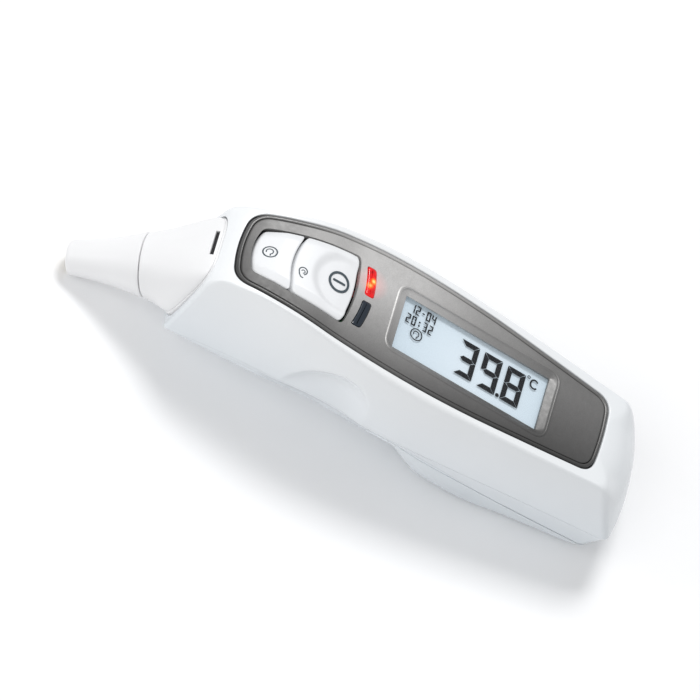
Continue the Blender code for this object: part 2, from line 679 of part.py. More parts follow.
def sensor_ribbon():
    """Flat flexible lead from the sensor board up through the nose to the front of the main board."""
    route = [along_probe(2.6), along_probe(0.6) + PROBE_UP * 0.6]
    route += [Vector((x, 0, z)) for x, z in ((-66.0, -23.5), (-60.5, -15.0), (-57.0, -11.2), (-54.7, -9.1))]
    steps = np.linspace(0, len(route) - 1, 16)
    knots = np.arange(len(route))
    centre = np.array([[along(list(zip(knots, [p[k] for p in route])), s) for k in (0, 2)] for s in steps])
    slope = np.gradient(centre, axis=0)
    normal = np.column_stack([-slope[:, 1], slope[:, 0]]) / np.linalg.norm(slope, axis=1, keepdims=True) * 0.2
    loops = []
    for (x, z), (nx, nz) in zip(centre, normal):
        corners = ((1, -2.5), (1, 2.5), (-1, 2.5), (-1, -2.5))
        loops.append(np.array([(x + sx * nx, y, z + sx * nz) for sx, y in corners]))
    faces = ring_faces(4, len(loops), False) + [(0, 1, 2, 3), tuple(len(loops) * 4 - k for k in (1, 2, 3, 4))]
    mesh_object("sensor_ribbon", (np.vstack(loops), faces), RIBBON_AMBER)


def coil(name, start, length, r0, r1, turns, wire, finish):
    """Conical compression spring as one tube along a helix."""
    steps = turns * 12
    sides = 6
    rings = []
    for k in range(steps + 1):
        t = k / steps
        a = 2 * math.pi * turns * t
        r = r0 + (r1 - r0) * t
        out = np.array([0, math.cos(a), math.sin(a)])
        centre = np.array(start) + np.array([length * t, 0, 0]) + out * r
        angles = np.linspace(0, 2 * np.pi, sides, endpoint=False)
        side = np.array([1, 0, 0])
        rings.append(np.array([centre + wire * (math.cos(b) * out + math.sin(b) * side) for b in angles]))
    faces = ring_faces(sides, len(rings), False)
    faces += [tuple(range(sides)), tuple(range(len(rings) * sides - 1, (len(rings) - 1) * sides - 1, -1))]
    mesh_object(name, (np.vstack(rings), faces), finish)


def power():
    """Two AAA cells lying head to tail in the tray, each between a spring and a contact plate."""
    profile = [(0, 4.2), (0.3, CELL_RADIUS), (CELL_LENGTH - 0.3, CELL_RADIUS), (CELL_LENGTH, 4.2)]
    profile += [(CELL_LENGTH, 1.9), (CELL_LENGTH + CELL_NUB, 1.9)]
    plate_half = 2.2
    for name, x, side, way in (("a", CELL_A_START, -1, 1), ("b", CELL_B_START, 1, -1)):
        y = side * CELL_Y
        turned(f"battery_{name}", profile, (x, y, CELL_Z), (way, 0, 0), CELL_LABEL, 24)
        wall = TRAY_FRONT if way > 0 else TRAY_TAIL
        far_wall = TRAY_TAIL if way > 0 else TRAY_FRONT
        spring_length = abs(x - wall) - 0.9
        spring_start = (wall + way * 0.5, y, CELL_Z)
        coil(f"battery_spring_{name}", spring_start, way * spring_length, 3.2, 2.2, 2, 0.3, STEEL)
        ends = sorted((far_wall - way * 0.1, far_wall - way * 0.4))
        box(
            f"contact_plate_{name}", (ends[0], y - plate_half, CELL_Z - plate_half),
            (ends[1], y + plate_half, CELL_Z + plate_half), STEEL,
        )


def battery_tray():
    """Roof and end walls that hold the cells, open below for the battery cover."""
    tray = box("battery_tray", (TRAY_FRONT - 1.2, -11.9, -16.5), (TRAY_TAIL, 11.9, -13.5), PLASTIC_BLACK)
    hollow = helper_box("tray_hollow", (TRAY_FRONT, -11.1, -30), (TRAY_TAIL, 11.1, -14.5))
    for name, low, high, reach in (
        ("tray_front_wall", TRAY_FRONT - 1.2, TRAY_FRONT + 0.1, 10.0),
        ("tray_tail_wall", TRAY_TAIL - 0.1, TRAY_TAIL + 0.6, 9.4),
    ):
        cut(tray, helper_box(name, (low, -reach, -21.6), (high, reach, -13.9)), "UNION")
    cut(tray, hollow)


def screws():
    for k, (x, y) in enumerate(((-46, -9.5), (-46, 9.5), (-12, -12.5), (-12, 12.5)), 1):
        profile = [(0, 1.9), (1.2, 1.9), (1.2, 0.9), (9.0, 0.9), (10.0, 0.2)]
        z = float(along(EDGE_HEIGHT, x))
        turned(f"casing_screw_{k}", profile, (x, y, z + 0.2), (0, 0, 1), STEEL, 16)


# ---------------------------------------------------------------- build

clear_scene()

body_frame = bpy.data.objects.new("body_frame", None)
bpy.context.scene.collection.objects.link(body_frame)
body_frame.rotation_euler = (0.0, REST_TILT, 0.0)
body_frame.location = (MIDDLE_SHIFT * MM, 0.0, -FLOOR_AT_ORIGIN * math.cos(REST_TILT) * MM)

WHITE_GLOSS = material("white_gloss", (0.86, 0.88, 0.90), 0.22)
WHITE_SATIN = material("white_satin", (0.87, 0.87, 0.88), 0.35)
KEY_WHITE = material("key_white", (0.82, 0.83, 0.85), 0.3)
PANEL_GREY = material("panel_grey", (0.30, 0.29, 0.29), 0.35, 0.6)
LAMP_RED = material("lamp_red", (0.9, 0.05, 0.02), 0.2)
LAMP_DARK = material("lamp_dark", (0.03, 0.04, 0.06), 0.2)
CLEAR = material("clear_plastic", (0.9, 0.95, 1.0), 0.05, alpha=0.35)
LCD_GREY = material("lcd_grey", (0.62, 0.70, 0.76), 0.3)
PLASTIC_CLEAR_WHITE = material("backlight_white", (0.9, 0.92, 0.95), 0.4)
RUBBER_GREY = material("rubber_grey", (0.35, 0.35, 0.36), 0.8)
PLASTIC_BLACK = material("plastic_black", (0.05, 0.05, 0.055), 0.5)
BOARD_GREEN = material("board_green", (0.02, 0.22, 0.10), 0.4)
CHIP_BLACK = material("chip_black", (0.03, 0.03, 0.03), 0.5)
STEEL = material("steel", (0.6, 0.6, 0.62), 0.3, 1.0)
BRASS = material("brass", (0.75, 0.58, 0.25), 0.3, 1.0)
GOLD = material("gold", (0.9, 0.68, 0.22), 0.2, 1.0)
LED_RED = material("led_red", (0.8, 0.1, 0.1), 0.3)
LED_GREEN = material("led_green", (0.1, 0.6, 0.2), 0.3)
RIBBON_AMBER = material("ribbon_amber", (0.65, 0.35, 0.08), 0.4)
CELL_LABEL = material("cell_label", (0.12, 0.22, 0.42), 0.3)
NO_FINISH = material("cutter", (1.0, 1.0, 1.0), 0.5)

front_casing()
rear_casing()
battery_cover()
nose()
probe_nozzle()
control_panel()
keys()
panel_fittings()
display_stack()
main_board()
key_switches()
sensor_stack()
sensor_ribbon()
power()
battery_tray()
screws()
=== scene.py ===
"""Looks of the infrared ear thermometer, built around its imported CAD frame."""

import json
import math

import bmesh
import bpy
import numpy as np
from mathutils import Matrix, Vector


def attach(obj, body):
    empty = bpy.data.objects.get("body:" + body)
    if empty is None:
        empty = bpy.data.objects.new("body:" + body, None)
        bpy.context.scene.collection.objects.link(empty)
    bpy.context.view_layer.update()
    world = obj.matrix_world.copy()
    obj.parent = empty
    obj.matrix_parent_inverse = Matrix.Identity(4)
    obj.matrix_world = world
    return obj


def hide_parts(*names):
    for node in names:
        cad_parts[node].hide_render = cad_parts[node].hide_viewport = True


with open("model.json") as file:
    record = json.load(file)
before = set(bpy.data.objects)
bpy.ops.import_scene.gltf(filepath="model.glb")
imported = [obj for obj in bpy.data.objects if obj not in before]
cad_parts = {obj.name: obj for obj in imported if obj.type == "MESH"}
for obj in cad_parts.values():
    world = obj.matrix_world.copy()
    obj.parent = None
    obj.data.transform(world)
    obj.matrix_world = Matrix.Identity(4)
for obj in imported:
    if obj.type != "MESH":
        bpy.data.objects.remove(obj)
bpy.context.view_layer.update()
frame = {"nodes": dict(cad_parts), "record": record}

MM = 0.001
WALL = 1.8

# The body is drawn in its own frame, in millimetres: +X to the tail, +Y to the far side, +Z out of the
# display. Each *_HALF table gives a half-width at x, and each *_HEIGHT table a height at x.
REST_TILT = math.radians(7.0)
FLOOR_AT_ORIGIN = -34.4
MIDDLE_SHIFT = 20.46
TO_WORLD = (
    Matrix.Translation((MIDDLE_SHIFT * MM, 0, -FLOOR_AT_ORIGIN * math.cos(REST_TILT) * MM))
    @ Matrix.Rotation(REST_TILT, 4, "Y")
    @ Matrix.Scale(MM, 4)
)
HEAD_X = -63.4
TAIL_X = 52.0

# An outline's end is given as (x at its middle, x at its corners).
PANEL_TAIL, PANEL_HEAD = (36.2, 35.5), (-60.0, -58.8)
COVER_TAIL, COVER_HEAD = (50.3, 49.6), (-12.5, -7.0)
WELL_TAIL, WELL_HEAD = (-32.3, -33.7), (-57.2, -56.0)

PANEL_HEIGHT = (
    (-66, -8.9), (-61, -6.2), (-56.5, -3.9), (-48, -1.2), (-41, 0.1), (-34, 0.45), (0, 0.5), (38, 0.1),
)
PANEL_HALF = (
    (-61, 8.9), (-48.4, 11.4), (-38.7, 13.1), (-29, 14.1), (-17, 14.5), (0, 13.9), (19, 12.0), (36, 10.0),
)
RIDGE_HALF = (
    (-64, 10.6), (-52, 12.4), (-44, 14.0), (-34, 15.6), (-24, 16.5), (-14, 16.7), (8, 15.6), (41, 12.6),
)
EDGE_HALF = (
    (-63, 13.1), (-51, 14.4), (-35, 16.6), (-22, 18.2), (-8, 19.1), (6, 18.5), (22, 17.2), (51, 14.5),
)
EDGE_HEIGHT = (
    (-63, -29.9), (-51, -25.6), (-35, -20.6), (-22, -17.7), (-8, -15.9), (6, -14.8), (22, -14.1), (52, -13.8),
)
COVER_HALF = ((-9, 17.3), (5, 17.1), (15, 16.2), (25, 15.2), (36, 14.1), (50, 12.7))
COVER_HEIGHT = ((-8, -18.3), (9, -19.5), (25, -20.8), (50, -22.1))
FOOT_HALF = ((4, 5.5), (9, 8.3), (14, 10.2), (20, 11.6), (31, 10.9), (50, 9.2))

BOW_SWELL = 2.0
SIDE_SWELL = 0.04
COVER_WALL = 1.6
PROBE_TILT = math.radians(41.0)
SEAM_CENTRE = (-70.5, 0.0, -29.4)
SEAM_RADIUS = 7.6
FOOT_SCALE = 0.945  # the nose's foot against the casing's front opening
COLLAR_HALF_WIDTH, COLLAR_TAPER, COLLAR_HALF_HEIGHT, COLLAR_MIDDLE = 10.8, 1.1, 11.0, -19.6
COLLAR_SQUARENESS = 4.2  # exponent of the superellipse
SLOT_MIDDLE, SLOT_HALF_LENGTH, SLOT_HALF_WIDTH = (-64.45, 0.0, -9.72), 3.4, 0.48
SCOOP_CENTRE_X = -25.5
SCOOP_HALF_LENGTH = 10.2
SCOOP_DEPTH = 3.2
SCOOP_HEIGHT = 12.5
PARTING_SINE = -0.78

KEY_HALF = ((-57, 5.8), (-46, 8.0), (-32, 9.6))
LAMP_X, LAMP_WIDTH, LAMP_INNER_Y, LAMP_OUTER_Y = -28.9, 2.2, 0.9, 8.2
LAMP_BOW, LAMP_END_RADIUS = 1.2, 0.6
LAMP_SPOTS = ((-29.5, 3.6), (-28.9, 5.0))
DISPLAY_CENTRE_X, DISPLAY_HALF_LENGTH, DISPLAY_HALF_WIDTH = 0.1, 19.75, 6.65
RECESS_HALF_LENGTH, RECESS_HALF_WIDTH, RECESS_RADIUS = 21.8, 8.8, 2.9
WINDOW_SHIFT = 0.7
GLASS_TOP = -0.62
DIGITS_HEIGHT = -1.25


def along(table, x):
    """Smooth value at x through (x, value) pairs: a cubic Hermite curve with finite-difference slopes."""
    xs = np.array([p[0] for p in table], float)
    values = np.array([p[1] for p in table], float)
    slopes = np.gradient(values, xs)
    x = np.clip(np.asarray(x, float), xs[0], xs[-1])
    i = np.clip(np.searchsorted(xs, x) - 1, 0, len(xs) - 2)
    step = xs[i + 1] - xs[i]
    t = (x - xs[i]) / step
    start = (2 * t**3 - 3 * t**2 + 1) * values[i] + (t**3 - 2 * t**2 + t) * step * slopes[i]
    end = (3 * t**2 - 2 * t**3) * values[i + 1] + (t**3 - t**2) * step * slopes[i + 1]
    return start + end


def floor_height(x):
    """Height of the floor in the body's frame."""
    return FLOOR_AT_ORIGIN + np.asarray(x, float) * math.tan(REST_TILT)


def smooth_step(t):
    t = np.clip(t, 0, 1)
    return t * t * (3 - 2 * t)


# ---------------------------------------------------------------- outlines and rings


def bezier(a, control, b, count):
    t = np.linspace(0, 1, count + 1)[:, None]
    return (1 - t) ** 2 * a + 2 * t * (1 - t) * control + t**2 * b


def outline(tail, head, half, r_tail, r_head, counts, stations=None):
    """Half plan outline from the tail's middle round the near side to the head's middle.

    tail and head are the two ends; half gives the half-width at x. counts are the numbers of steps along the
    tail, each corner, the side and the head. stations, from 0 to 1, set uneven steps along the side.
    """
    n_tail, n_corner, n_side, n_head = counts
    (tail_mid, tail_corner), (head_mid, head_corner) = tail, head
    w_tail, w_head = float(half(tail_corner)), float(half(head_corner))

    def end_line(mid, corner, w, y):
        return np.column_stack([mid + (corner - mid) * (y / w) ** 2, y])

    tail_pts = end_line(tail_mid, tail_corner, w_tail, np.linspace(0, w_tail - r_tail, n_tail + 1))
    x0, x1 = tail_corner - r_tail, head_corner + r_head
    xs = np.linspace(x0, x1, n_side + 1) if stations is None else x0 + (x1 - x0) * stations
    side_pts = np.column_stack([xs, half(xs)])
    head_pts = end_line(head_mid, head_corner, w_head, np.linspace(w_head - r_head, 0, n_head + 1))
    tail_arc = bezier(tail_pts[-1], np.array([tail_corner, w_tail]), side_pts[0], n_corner)
    head_arc = bezier(side_pts[-1], np.array([head_corner, w_head]), head_pts[0], n_corner)
    return np.vstack([tail_pts, tail_arc[1:-1], side_pts, head_arc[1:-1], head_pts])


def ring(half_outline, height):
    """Closed 3-D ring from a half outline: near side first, then its mirror image."""
    x, w = half_outline[:, 0], half_outline[:, 1]
    z = np.asarray(height(x), float) + np.zeros_like(x)
    near = np.column_stack([x, -w, z])
    return np.vstack([near, (near * (1, -1, 1))[-2:0:-1]])


def fillet_between(top, corner, bottom, reach_top, reach_bottom, counts):
    """Rings from top to bottom past the sharp corner ring, which is rounded within the two reaches."""
    n_top, n_fillet, n_side = counts
    up, down = top - corner, bottom - corner
    up_len = np.linalg.norm(up, axis=1, keepdims=True)
    down_len = np.linalg.norm(down, axis=1, keepdims=True)
    start = corner + up * np.minimum(1, np.asarray(reach_top).reshape(-1, 1) / up_len)
    end = corner + down * np.minimum(0.95, np.asarray(reach_bottom).reshape(-1, 1) / down_len)
    rings = [top + (start - top) * t for t in np.linspace(0, 1, n_top + 1)[:-1]]
    for t in np.linspace(0, 1, n_fillet + 1):
        rings.append((1 - t) ** 2 * start + 2 * t * (1 - t) * corner + t**2 * end)
    rings += [end + (bottom - end) * t for t in np.linspace(0, 1, n_side + 1)[1:]]
    return rings


def ring_faces(count, rings, closed):
    faces = []
    for k in range(rings if closed else rings - 1):
        a, b = k * count, ((k + 1) % rings) * count
        for i in range(count):
            j = (i + 1) % count
            faces.append((a + i, a + j, b + j, b + i))
    return faces


def cap_faces(start, count):
    """Faces across a ring that is symmetric about the middle plane, from near points to far points."""
    half = count // 2
    faces = [(start, start + 1, start + count - 1)]
    for i in range(1, half - 1):
        faces.append((start + i, start + i + 1, start + count - i - 1, start + count - i))
    faces.append((start + half - 1, start + half, start + half + 1))
    return faces


def from_rings(rings, closed=False):
    """Mesh data of a solid: a closed loop of rings, or a stack of rings capped at both ends."""
    count = len(rings[0])
    faces = ring_faces(count, len(rings), closed)
    if not closed:
        faces += cap_faces(0, count)
        faces += [tuple(reversed(f)) for f in cap_faces((len(rings) - 1) * count, count)]
    return np.vstack(rings), faces


def from_loops(loops):
    """Mesh data of a stack of loops with a flat many-sided face at each end."""
    count = len(loops[0])
    faces = ring_faces(count, len(loops), False)
    faces += [tuple(range(count)), tuple(range(len(loops) * count - 1, (len(loops) - 1) * count - 1, -1))]
    return np.vstack(loops), faces


# ---------------------------------------------------------------- materials


class Nodes:
    """Short calls to build one material's node tree."""

    def __init__(self, name):
        self.material = bpy.data.materials.new(name)
        self.material.use_nodes = True
        self.tree = self.material.node_tree
        self.shader = self.tree.nodes["Principled BSDF"]
        self.coords = self.tree.nodes.new("ShaderNodeTexCoord").outputs["Object"]

    def add(self, kind, **values):
        node = self.tree.nodes.new(kind)
        for key, value in values.items():
            if hasattr(node, key):
                setattr(node, key, value)
            else:
                node.inputs[key.replace("_", " ")].default_value = value
        return node

    def link(self, source, target):
        self.tree.links.new(source, target)

    def noise(self, scale, detail=3.0, stretch=None):
        node = self.add("ShaderNodeTexNoise", Scale=scale, Detail=detail)
        if stretch:
            mapping = self.add("ShaderNodeMapping")
            mapping.inputs["Scale"].default_value = stretch
            self.link(self.coords, mapping.inputs["Vector"])
            self.link(mapping.outputs["Vector"], node.inputs["Vector"])
        else:
            self.link(self.coords, node.inputs["Vector"])
        return node.outputs["Fac"]

    def ramp(self, source, *stops):
        node = self.add("ShaderNodeValToRGB")
        elements = node.color_ramp.elements
        while len(elements) < len(stops):
            elements.new(0.5)
        for element, (position, colour) in zip(elements, stops):
            element.position = position
            element.color = (*colour, 1.0)
        self.link(source, node.inputs["Fac"])
        return node.outputs["Color"]

    def spread(self, source, low, high, start=0.0, end=1.0):
        node = self.add("ShaderNodeMapRange")
        for key, value in (("From Min", start), ("From Max", end), ("To Min", low), ("To Max", high)):
            node.inputs[key].default_value = value
        self.link(source, node.inputs["Value"])
        return node.outputs["Result"]

    def axis(self, direction):
        """Distance in metres along a direction in the object's own axes."""
        node = self.add("ShaderNodeVectorMath", operation="DOT_PRODUCT")
        self.link(self.coords, node.inputs[0])
        node.inputs[1].default_value = direction
        return node.outputs["Value"]

    def multiply(self, first, second):
        node = self.add("ShaderNodeMix", data_type="RGBA", blend_type="MULTIPLY")
        node.inputs[0].default_value = 1.0
        self.link(first, node.inputs[6])
        self.link(second, node.inputs[7])
        return node.outputs[2]

    def near(self, point):
        """Distance in millimetres from a body-frame point."""
        node = self.add("ShaderNodeVectorMath", operation="DISTANCE")
        self.link(self.coords, node.inputs[0])
        node.inputs[1].default_value = TO_WORLD @ Vector(point)
        scale = self.add("ShaderNodeMath", operation="DIVIDE")
        self.link(node.outputs["Value"], scale.inputs[0])
        scale.inputs[1].default_value = MM
        return scale.outputs[0]

    def set(self, **values):
        for key, value in values.items():
            socket = self.shader.inputs[key.replace("_", " ")]
            if isinstance(value, bpy.types.NodeSocket):
                self.link(value, socket)
            else:
                socket.default_value = (*value, 1.0) if isinstance(value, tuple) else value
        return self

    def bump(self, source, depth):
        node = self.add("ShaderNodeBump", Strength=1.0, Distance=depth)
        self.link(source, node.inputs["Height"])
        self.link(node.outputs["Normal"], self.shader.inputs["Normal"])
        return self


def shade(colour, factor):
    return tuple(min(1.0, c * factor) for c in colour)


def moulded(name, colour, roughness, grain=250.0, depth=2e-6, vary=0.03, coat=0.0, **more):
    """Moulded or coated surface: slight unevenness of colour and gloss, and a fine grain."""
    made = Nodes(name)
    cloud = made.noise(60.0, 2.0)
    made.set(
        Base_Color=made.ramp(cloud, (0.3, shade(colour, 1 - vary)), (0.7, shade(colour, 1 + vary / 2))),
        Roughness=made.spread(made.noise(420.0), roughness * 0.88, roughness * 1.12, 0.3, 0.7),
        Coat_Weight=coat, Coat_Roughness=0.2, **more,
    )
    return made.bump(made.noise(grain, 4.0), depth).material


def casing_gloss(name, colour):
    """Glossy casing plastic, with painted shade: a little cooler and darker towards its lower edge."""
    made = Nodes(name)
    cloud = made.ramp(made.noise(60.0, 2.0), (0.3, shade(colour, 0.99)), (0.7, shade(colour, 1.005)))
    # Painted shade: the colour falls to a cooler, darker tone towards the casing's lower edge.
    height = made.spread(made.axis((0.0, 0.0, 1.0)), 0.0, 1.0, 0.008, 0.037)
    fall = made.ramp(height, (0.0, (0.86, 0.90, 0.93)), (0.45, (0.93, 0.95, 0.97)), (1.0, (1.0, 1.0, 1.0)))
    made.set(Base_Color=made.multiply(cloud, fall), Coat_Weight=0.12, Coat_Roughness=0.25)
    made.set(Roughness=made.spread(made.noise(420.0), 0.21, 0.27, 0.3, 0.7))
    return made.material


def brushed(name, colour, roughness):
    """Bare metal with fine drawn lines."""
    made = Nodes(name)
    lines = made.noise(900.0, 2.0, stretch=(1, 1, 30))
    made.set(
        Base_Color=made.ramp(lines, (0.3, shade(colour, 0.85)), (0.7, colour)),
        Roughness=made.spread(lines, roughness * 0.7, roughness * 1.3, 0.3, 0.7),
        Metallic=1.0,
    )
    return made.bump(lines, 2e-6).material


def panel_metal(name, factor, roughness, painted_red_glow=0.0):
    """Flaked metallic lacquer with painted reflection: lightest by the lamps and darker at both ends and the
    near side.

    Its last argument is the strength of the red light painted round the lit lamp, as a glow of the panel
    itself.
    """
    made = Nodes(name)
    # Painted reflection along the panel: lighter by the lamps, darker towards both ends.
    length = made.spread(made.axis((1.0, 0.0, 0.0)), 0.0, 1.0, -0.040, 0.058)
    painted_reflection_greys = ((0.0, 0.11), (0.12, 0.16), (0.30, 0.42), (0.44, 0.42), (0.62, 0.25), (0.82, 0.15), (1.0, 0.13))
    base = made.ramp(length, *((t, shade((grey, grey * 0.985, grey * 0.97), factor)) for t, grey in painted_reflection_greys))
    # Painted reflection across the panel: darker towards its near side.
    side = made.spread(made.axis((0.0, 1.0, 0.0)), 0.0, 1.0, -0.013, 0.006)
    across = made.ramp(side, (0.0, (0.3, 0.3, 0.3)), (1.0, (1.0, 1.0, 1.0)))
    flakes = made.ramp(made.noise(5200.0, 1.0), (0.35, (0.86, 0.86, 0.86)), (0.65, (1.0, 1.0, 1.0)))
    base = made.multiply(made.multiply(base, across), flakes)
    made.set(Base_Color=base, Metallic=0.45, Coat_Weight=0.15, Coat_Roughness=0.3)
    # Painted light: the panel glows red round the lit lamp, as if lit by it.
    lamp = made.near((LAMP_X - 0.2, 4.6, float(along(PANEL_HEIGHT, LAMP_X))))
    made.set(Emission_Color=(1.0, 0.03, 0.02), Emission_Strength=made.spread(lamp, painted_red_glow, 0.0, 1.5, 4.4))
    made.set(Roughness=made.spread(made.noise(800.0), roughness * 0.85, roughness * 1.15, 0.3, 0.7))
    return made.bump(made.noise(3500.0, 1.0), 1.5e-6).material


def lamp_glow(name):
    """Lit red lamp: hot yellow spots over a red body."""
    made = Nodes(name)
    spots = None
    base = float(along(PANEL_HEIGHT, LAMP_X))
    for x, y in LAMP_SPOTS:
        spot = made.spread(made.near((x, y, base)), 1.0, 0.0, 0.25, 1.5)
        if spots is None:
            spots = spot
        else:
            both = made.add("ShaderNodeMath", operation="MAXIMUM")
            made.link(spots, both.inputs[0])
            made.link(spot, both.inputs[1])
            spots = both.outputs[0]
    colour = made.ramp(
        spots,
        (0.0, (0.55, 0.002, 0.004)), (0.4, (1.0, 0.02, 0.01)),
        (0.75, (1.0, 0.28, 0.03)), (1.0, (1.0, 0.8, 0.25)),
    )
    made.set(Base_Color=(0.3, 0.004, 0.004), Emission_Color=colour, Roughness=0.2, Coat_Weight=0.2)
    made.set(Emission_Strength=made.spread(made.noise(900.0, 1.0), 0.6, 1.15, 0.35, 0.65))
    return made.bump(made.noise(700.0), 4e-6).material


def display_glass(name):
    """Face of the liquid crystal cell: pale blue-white, with a painted glow that is brighter in the middle.
    """
    made = Nodes(name)
    # Painted light: lighter in the middle of the face, darker towards its edges.
    fall = made.spread(made.near((2.0, -1.0, -1.7)), 0.0, 1.0, 2.0, 24.0)
    cloud = made.ramp(made.noise(40.0), (0.3, (0.965, 0.97, 0.975)), (0.7, (1.0, 1.0, 1.0)))
    base = made.ramp(fall, (0.0, (0.72, 0.81, 0.88)), (1.0, (0.62, 0.73, 0.81)))
    face = made.multiply(base, cloud)
    # Painted glow: the face gives off light of its own colour.
    made.set(Base_Color=face, Roughness=0.35, Emission_Color=face, Emission_Strength=0.26)
    return made.material


def clear(name, tint, alpha):
    """Clear window or film."""
    made = Nodes(name)
    made.set(Base_Color=tint, Alpha=alpha, Specular_IOR_Level=0.5)
    made.set(Roughness=made.spread(made.noise(300.0), 0.04, 0.064, 0.3, 0.7))
    return made.material


# ---------------------------------------------------------------- pieces


def shade_smooth(mesh, angle):
    mesh.shade_smooth()
    mesh.set_sharp_from_angle(angle=math.radians(angle))


def piece(name, data, finish, body="root", nodes=(), angle=40.0):
    """Object from body-frame mesh data that rides on a body and stands for the CAD nodes named."""
    points, faces = data
    bm = bmesh.new()
    verts = [bm.verts.new(p) for p in points]
    for face in faces:
        bm.faces.new([verts[i] for i in face])
    bmesh.ops.recalc_face_normals(bm, faces=bm.faces)
    bmesh.ops.transform(bm, matrix=TO_WORLD, verts=bm.verts)
    mesh = bpy.data.meshes.new(name)
    bm.to_mesh(mesh)
    bm.free()
    shade_smooth(mesh, angle)
    mesh.materials.append(finish)
    obj = bpy.data.objects.new(name, mesh)
    bpy.context.scene.collection.objects.link(obj)
    if body:
        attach(obj, body)
    if nodes:
        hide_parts(*nodes)
    return obj


def cut(obj, tools, radius=0.0):
    """Cuts the tools' shapes out of an object, then rounds its sharp edges if a radius is given."""
    for tool in tools:
        helper = piece("tool", tool, obj.data.materials[0], body=None)
        modifier = obj.modifiers.new("cut", "BOOLEAN")
        modifier.object = helper
        modifier.solver = "MANIFOLD"
        bpy.context.view_layer.update()
        evaluated = obj.evaluated_get(bpy.context.evaluated_depsgraph_get())
        cut_mesh = bpy.data.meshes.new_from_object(evaluated)
        obj.modifiers.clear()
        obj.data = cut_mesh
        bpy.data.objects.remove(helper, do_unlink=True)
    bm = bmesh.new()
    bm.from_mesh(obj.data)
    bmesh.ops.remove_doubles(bm, verts=bm.verts, dist=2e-6)
    bmesh.ops.dissolve_degenerate(bm, edges=bm.edges, dist=2e-6)
    if radius:
        limit = math.radians(32.0)
        sharp = [e for e in bm.edges if len(e.link_faces) == 2 and e.calc_face_angle(0.0) > limit]
        bmesh.ops.bevel(
            bm, geom=sharp, offset=radius * MM, segments=2, profile=0.5, affect="EDGES", clamp_overlap=True
        )
    bm.to_mesh(obj.data)
    bm.free()
    shade_smooth(obj.data, 38.0)
    obj.modifiers.new("normals", "WEIGHTED_NORMAL").keep_sharp = True


# ---------------------------------------------------------------- casings

SIDE_STATIONS = np.concatenate([
    np.linspace(0, 0.5, 52)[:-1], np.linspace(0.5, 0.78, 72)[:-1], np.linspace(0.78, 1, 28),
])
CASING_COUNTS = (14, 9, len(SIDE_STATIONS) - 1, 12)
UNDER_COUNTS = (12, 8, 80, 10)


def scoop_depth(x, up):
    """Depth of a finger scoop; up is 0 at the casing's bottom edge and below it, and 1 at the scoop's top."""
    up = np.clip(up, 0, 1)
    reach = np.sqrt(1 - up**2.2) * SCOOP_HALF_LENGTH + 1e-6
    raw = 1 - ((x - SCOOP_CENTRE_X) / reach) ** 2
    across = np.clip((raw + np.sqrt(raw**2 + 0.003)) / 2 - 0.03 * np.exp(-abs(raw)), 0, 1)
    rise = 1 - up
    return SCOOP_DEPTH * across * np.where(
        rise < 0.5, np.sin(np.pi * rise), 1 - 2.1 * np.clip(rise - 0.5, 0, 1) ** 1.5
    )


def scooped(rings):
    """Presses the finger scoops into rings, wherever they pass through the body's sides."""
    for points in rings:
        x, y, z = points.T
        up = (z - along(EDGE_HEIGHT, x)) / SCOOP_HEIGHT
        weight = np.where(up < 1, np.clip((np.abs(y) - 8) / 3, 0, 1), 0)
        points[:, 1] -= np.sign(y) * weight * scoop_depth(x, up)
    return rings


def moved(end, by):
    """An outline's end, shifted along x."""
    return end[0] + by, end[1] + by


def on_panel(shape, lift):
    """Ring of an outline at a height over the panel's surface."""
    return ring(shape, lambda x: along(PANEL_HEIGHT, x) + lift)


def hole_outline(margin):
    """Outline of the casing's hole for the panel."""
    return outline(
        moved(PANEL_TAIL, margin), moved(PANEL_HEAD, -margin),
        lambda x: along(PANEL_HALF, x) + margin, 3.6, 3.4, CASING_COUNTS, SIDE_STATIONS,
    )


def swollen(rings):
    """Rounds the casing's sides outwards a little between the ridge and the bottom edge."""
    for points in rings:
        x, y, z = points.T
        low, high = along(EDGE_HEIGHT, x), along(PANEL_HEIGHT, x)
        h = np.clip((z - low) / (high - low), 0, 1)
        points[:, 1] *= 1 + SIDE_SWELL * 4 * h * (1 - h)
    return rings


def casing_rings(inset):
    """Rings of the front casing from the panel's hole over the ridge and down to the bottom edge."""
    ridge = outline(
        (45.5 - inset, 40.6 - inset), (HEAD_X - 0.2 + inset, HEAD_X - 0.2 + inset),
        lambda x: along(RIDGE_HALF, x) - inset, 1.6, 1.0, CASING_COUNTS, SIDE_STATIONS,
    )
    edge = outline(
        (TAIL_X - inset, 50.4 - inset), (-62.7 + inset, -62.4 + inset),
        lambda x: along(EDGE_HALF, x) - inset, 1.6, 1.0, CASING_COUNTS, SIDE_STATIONS,
    )
    top = on_panel(hole_outline(0.62 + 0.6 * inset), -inset)
    corner = ring(ridge, lambda x: along(PANEL_HEIGHT, x) + 0.3 - inset - 0.9 * np.clip((x - 40) / 5, 0, 1))
    bottom = ring(edge, lambda x: along(EDGE_HEIGHT, x))
    x = corner[:, 0]
    tail = smooth_step((x - 40.5) / 4)
    head = smooth_step((-50 - x) / 12)
    reach_top = 1.6 + 6.0 * tail + 2.0 * head
    reach_bottom = 1.9 + 5.5 * tail + 2.6 * head
    rings = fillet_between(top, corner, bottom, reach_top, reach_bottom, (4, 8, 30))
    rings = swollen(rings)
    return rings[:6] + scooped(rings[6:])


NOSE_SIDES = 120
NOSE_ANGLES = np.linspace(0, 2 * np.pi, NOSE_SIDES, endpoint=False)


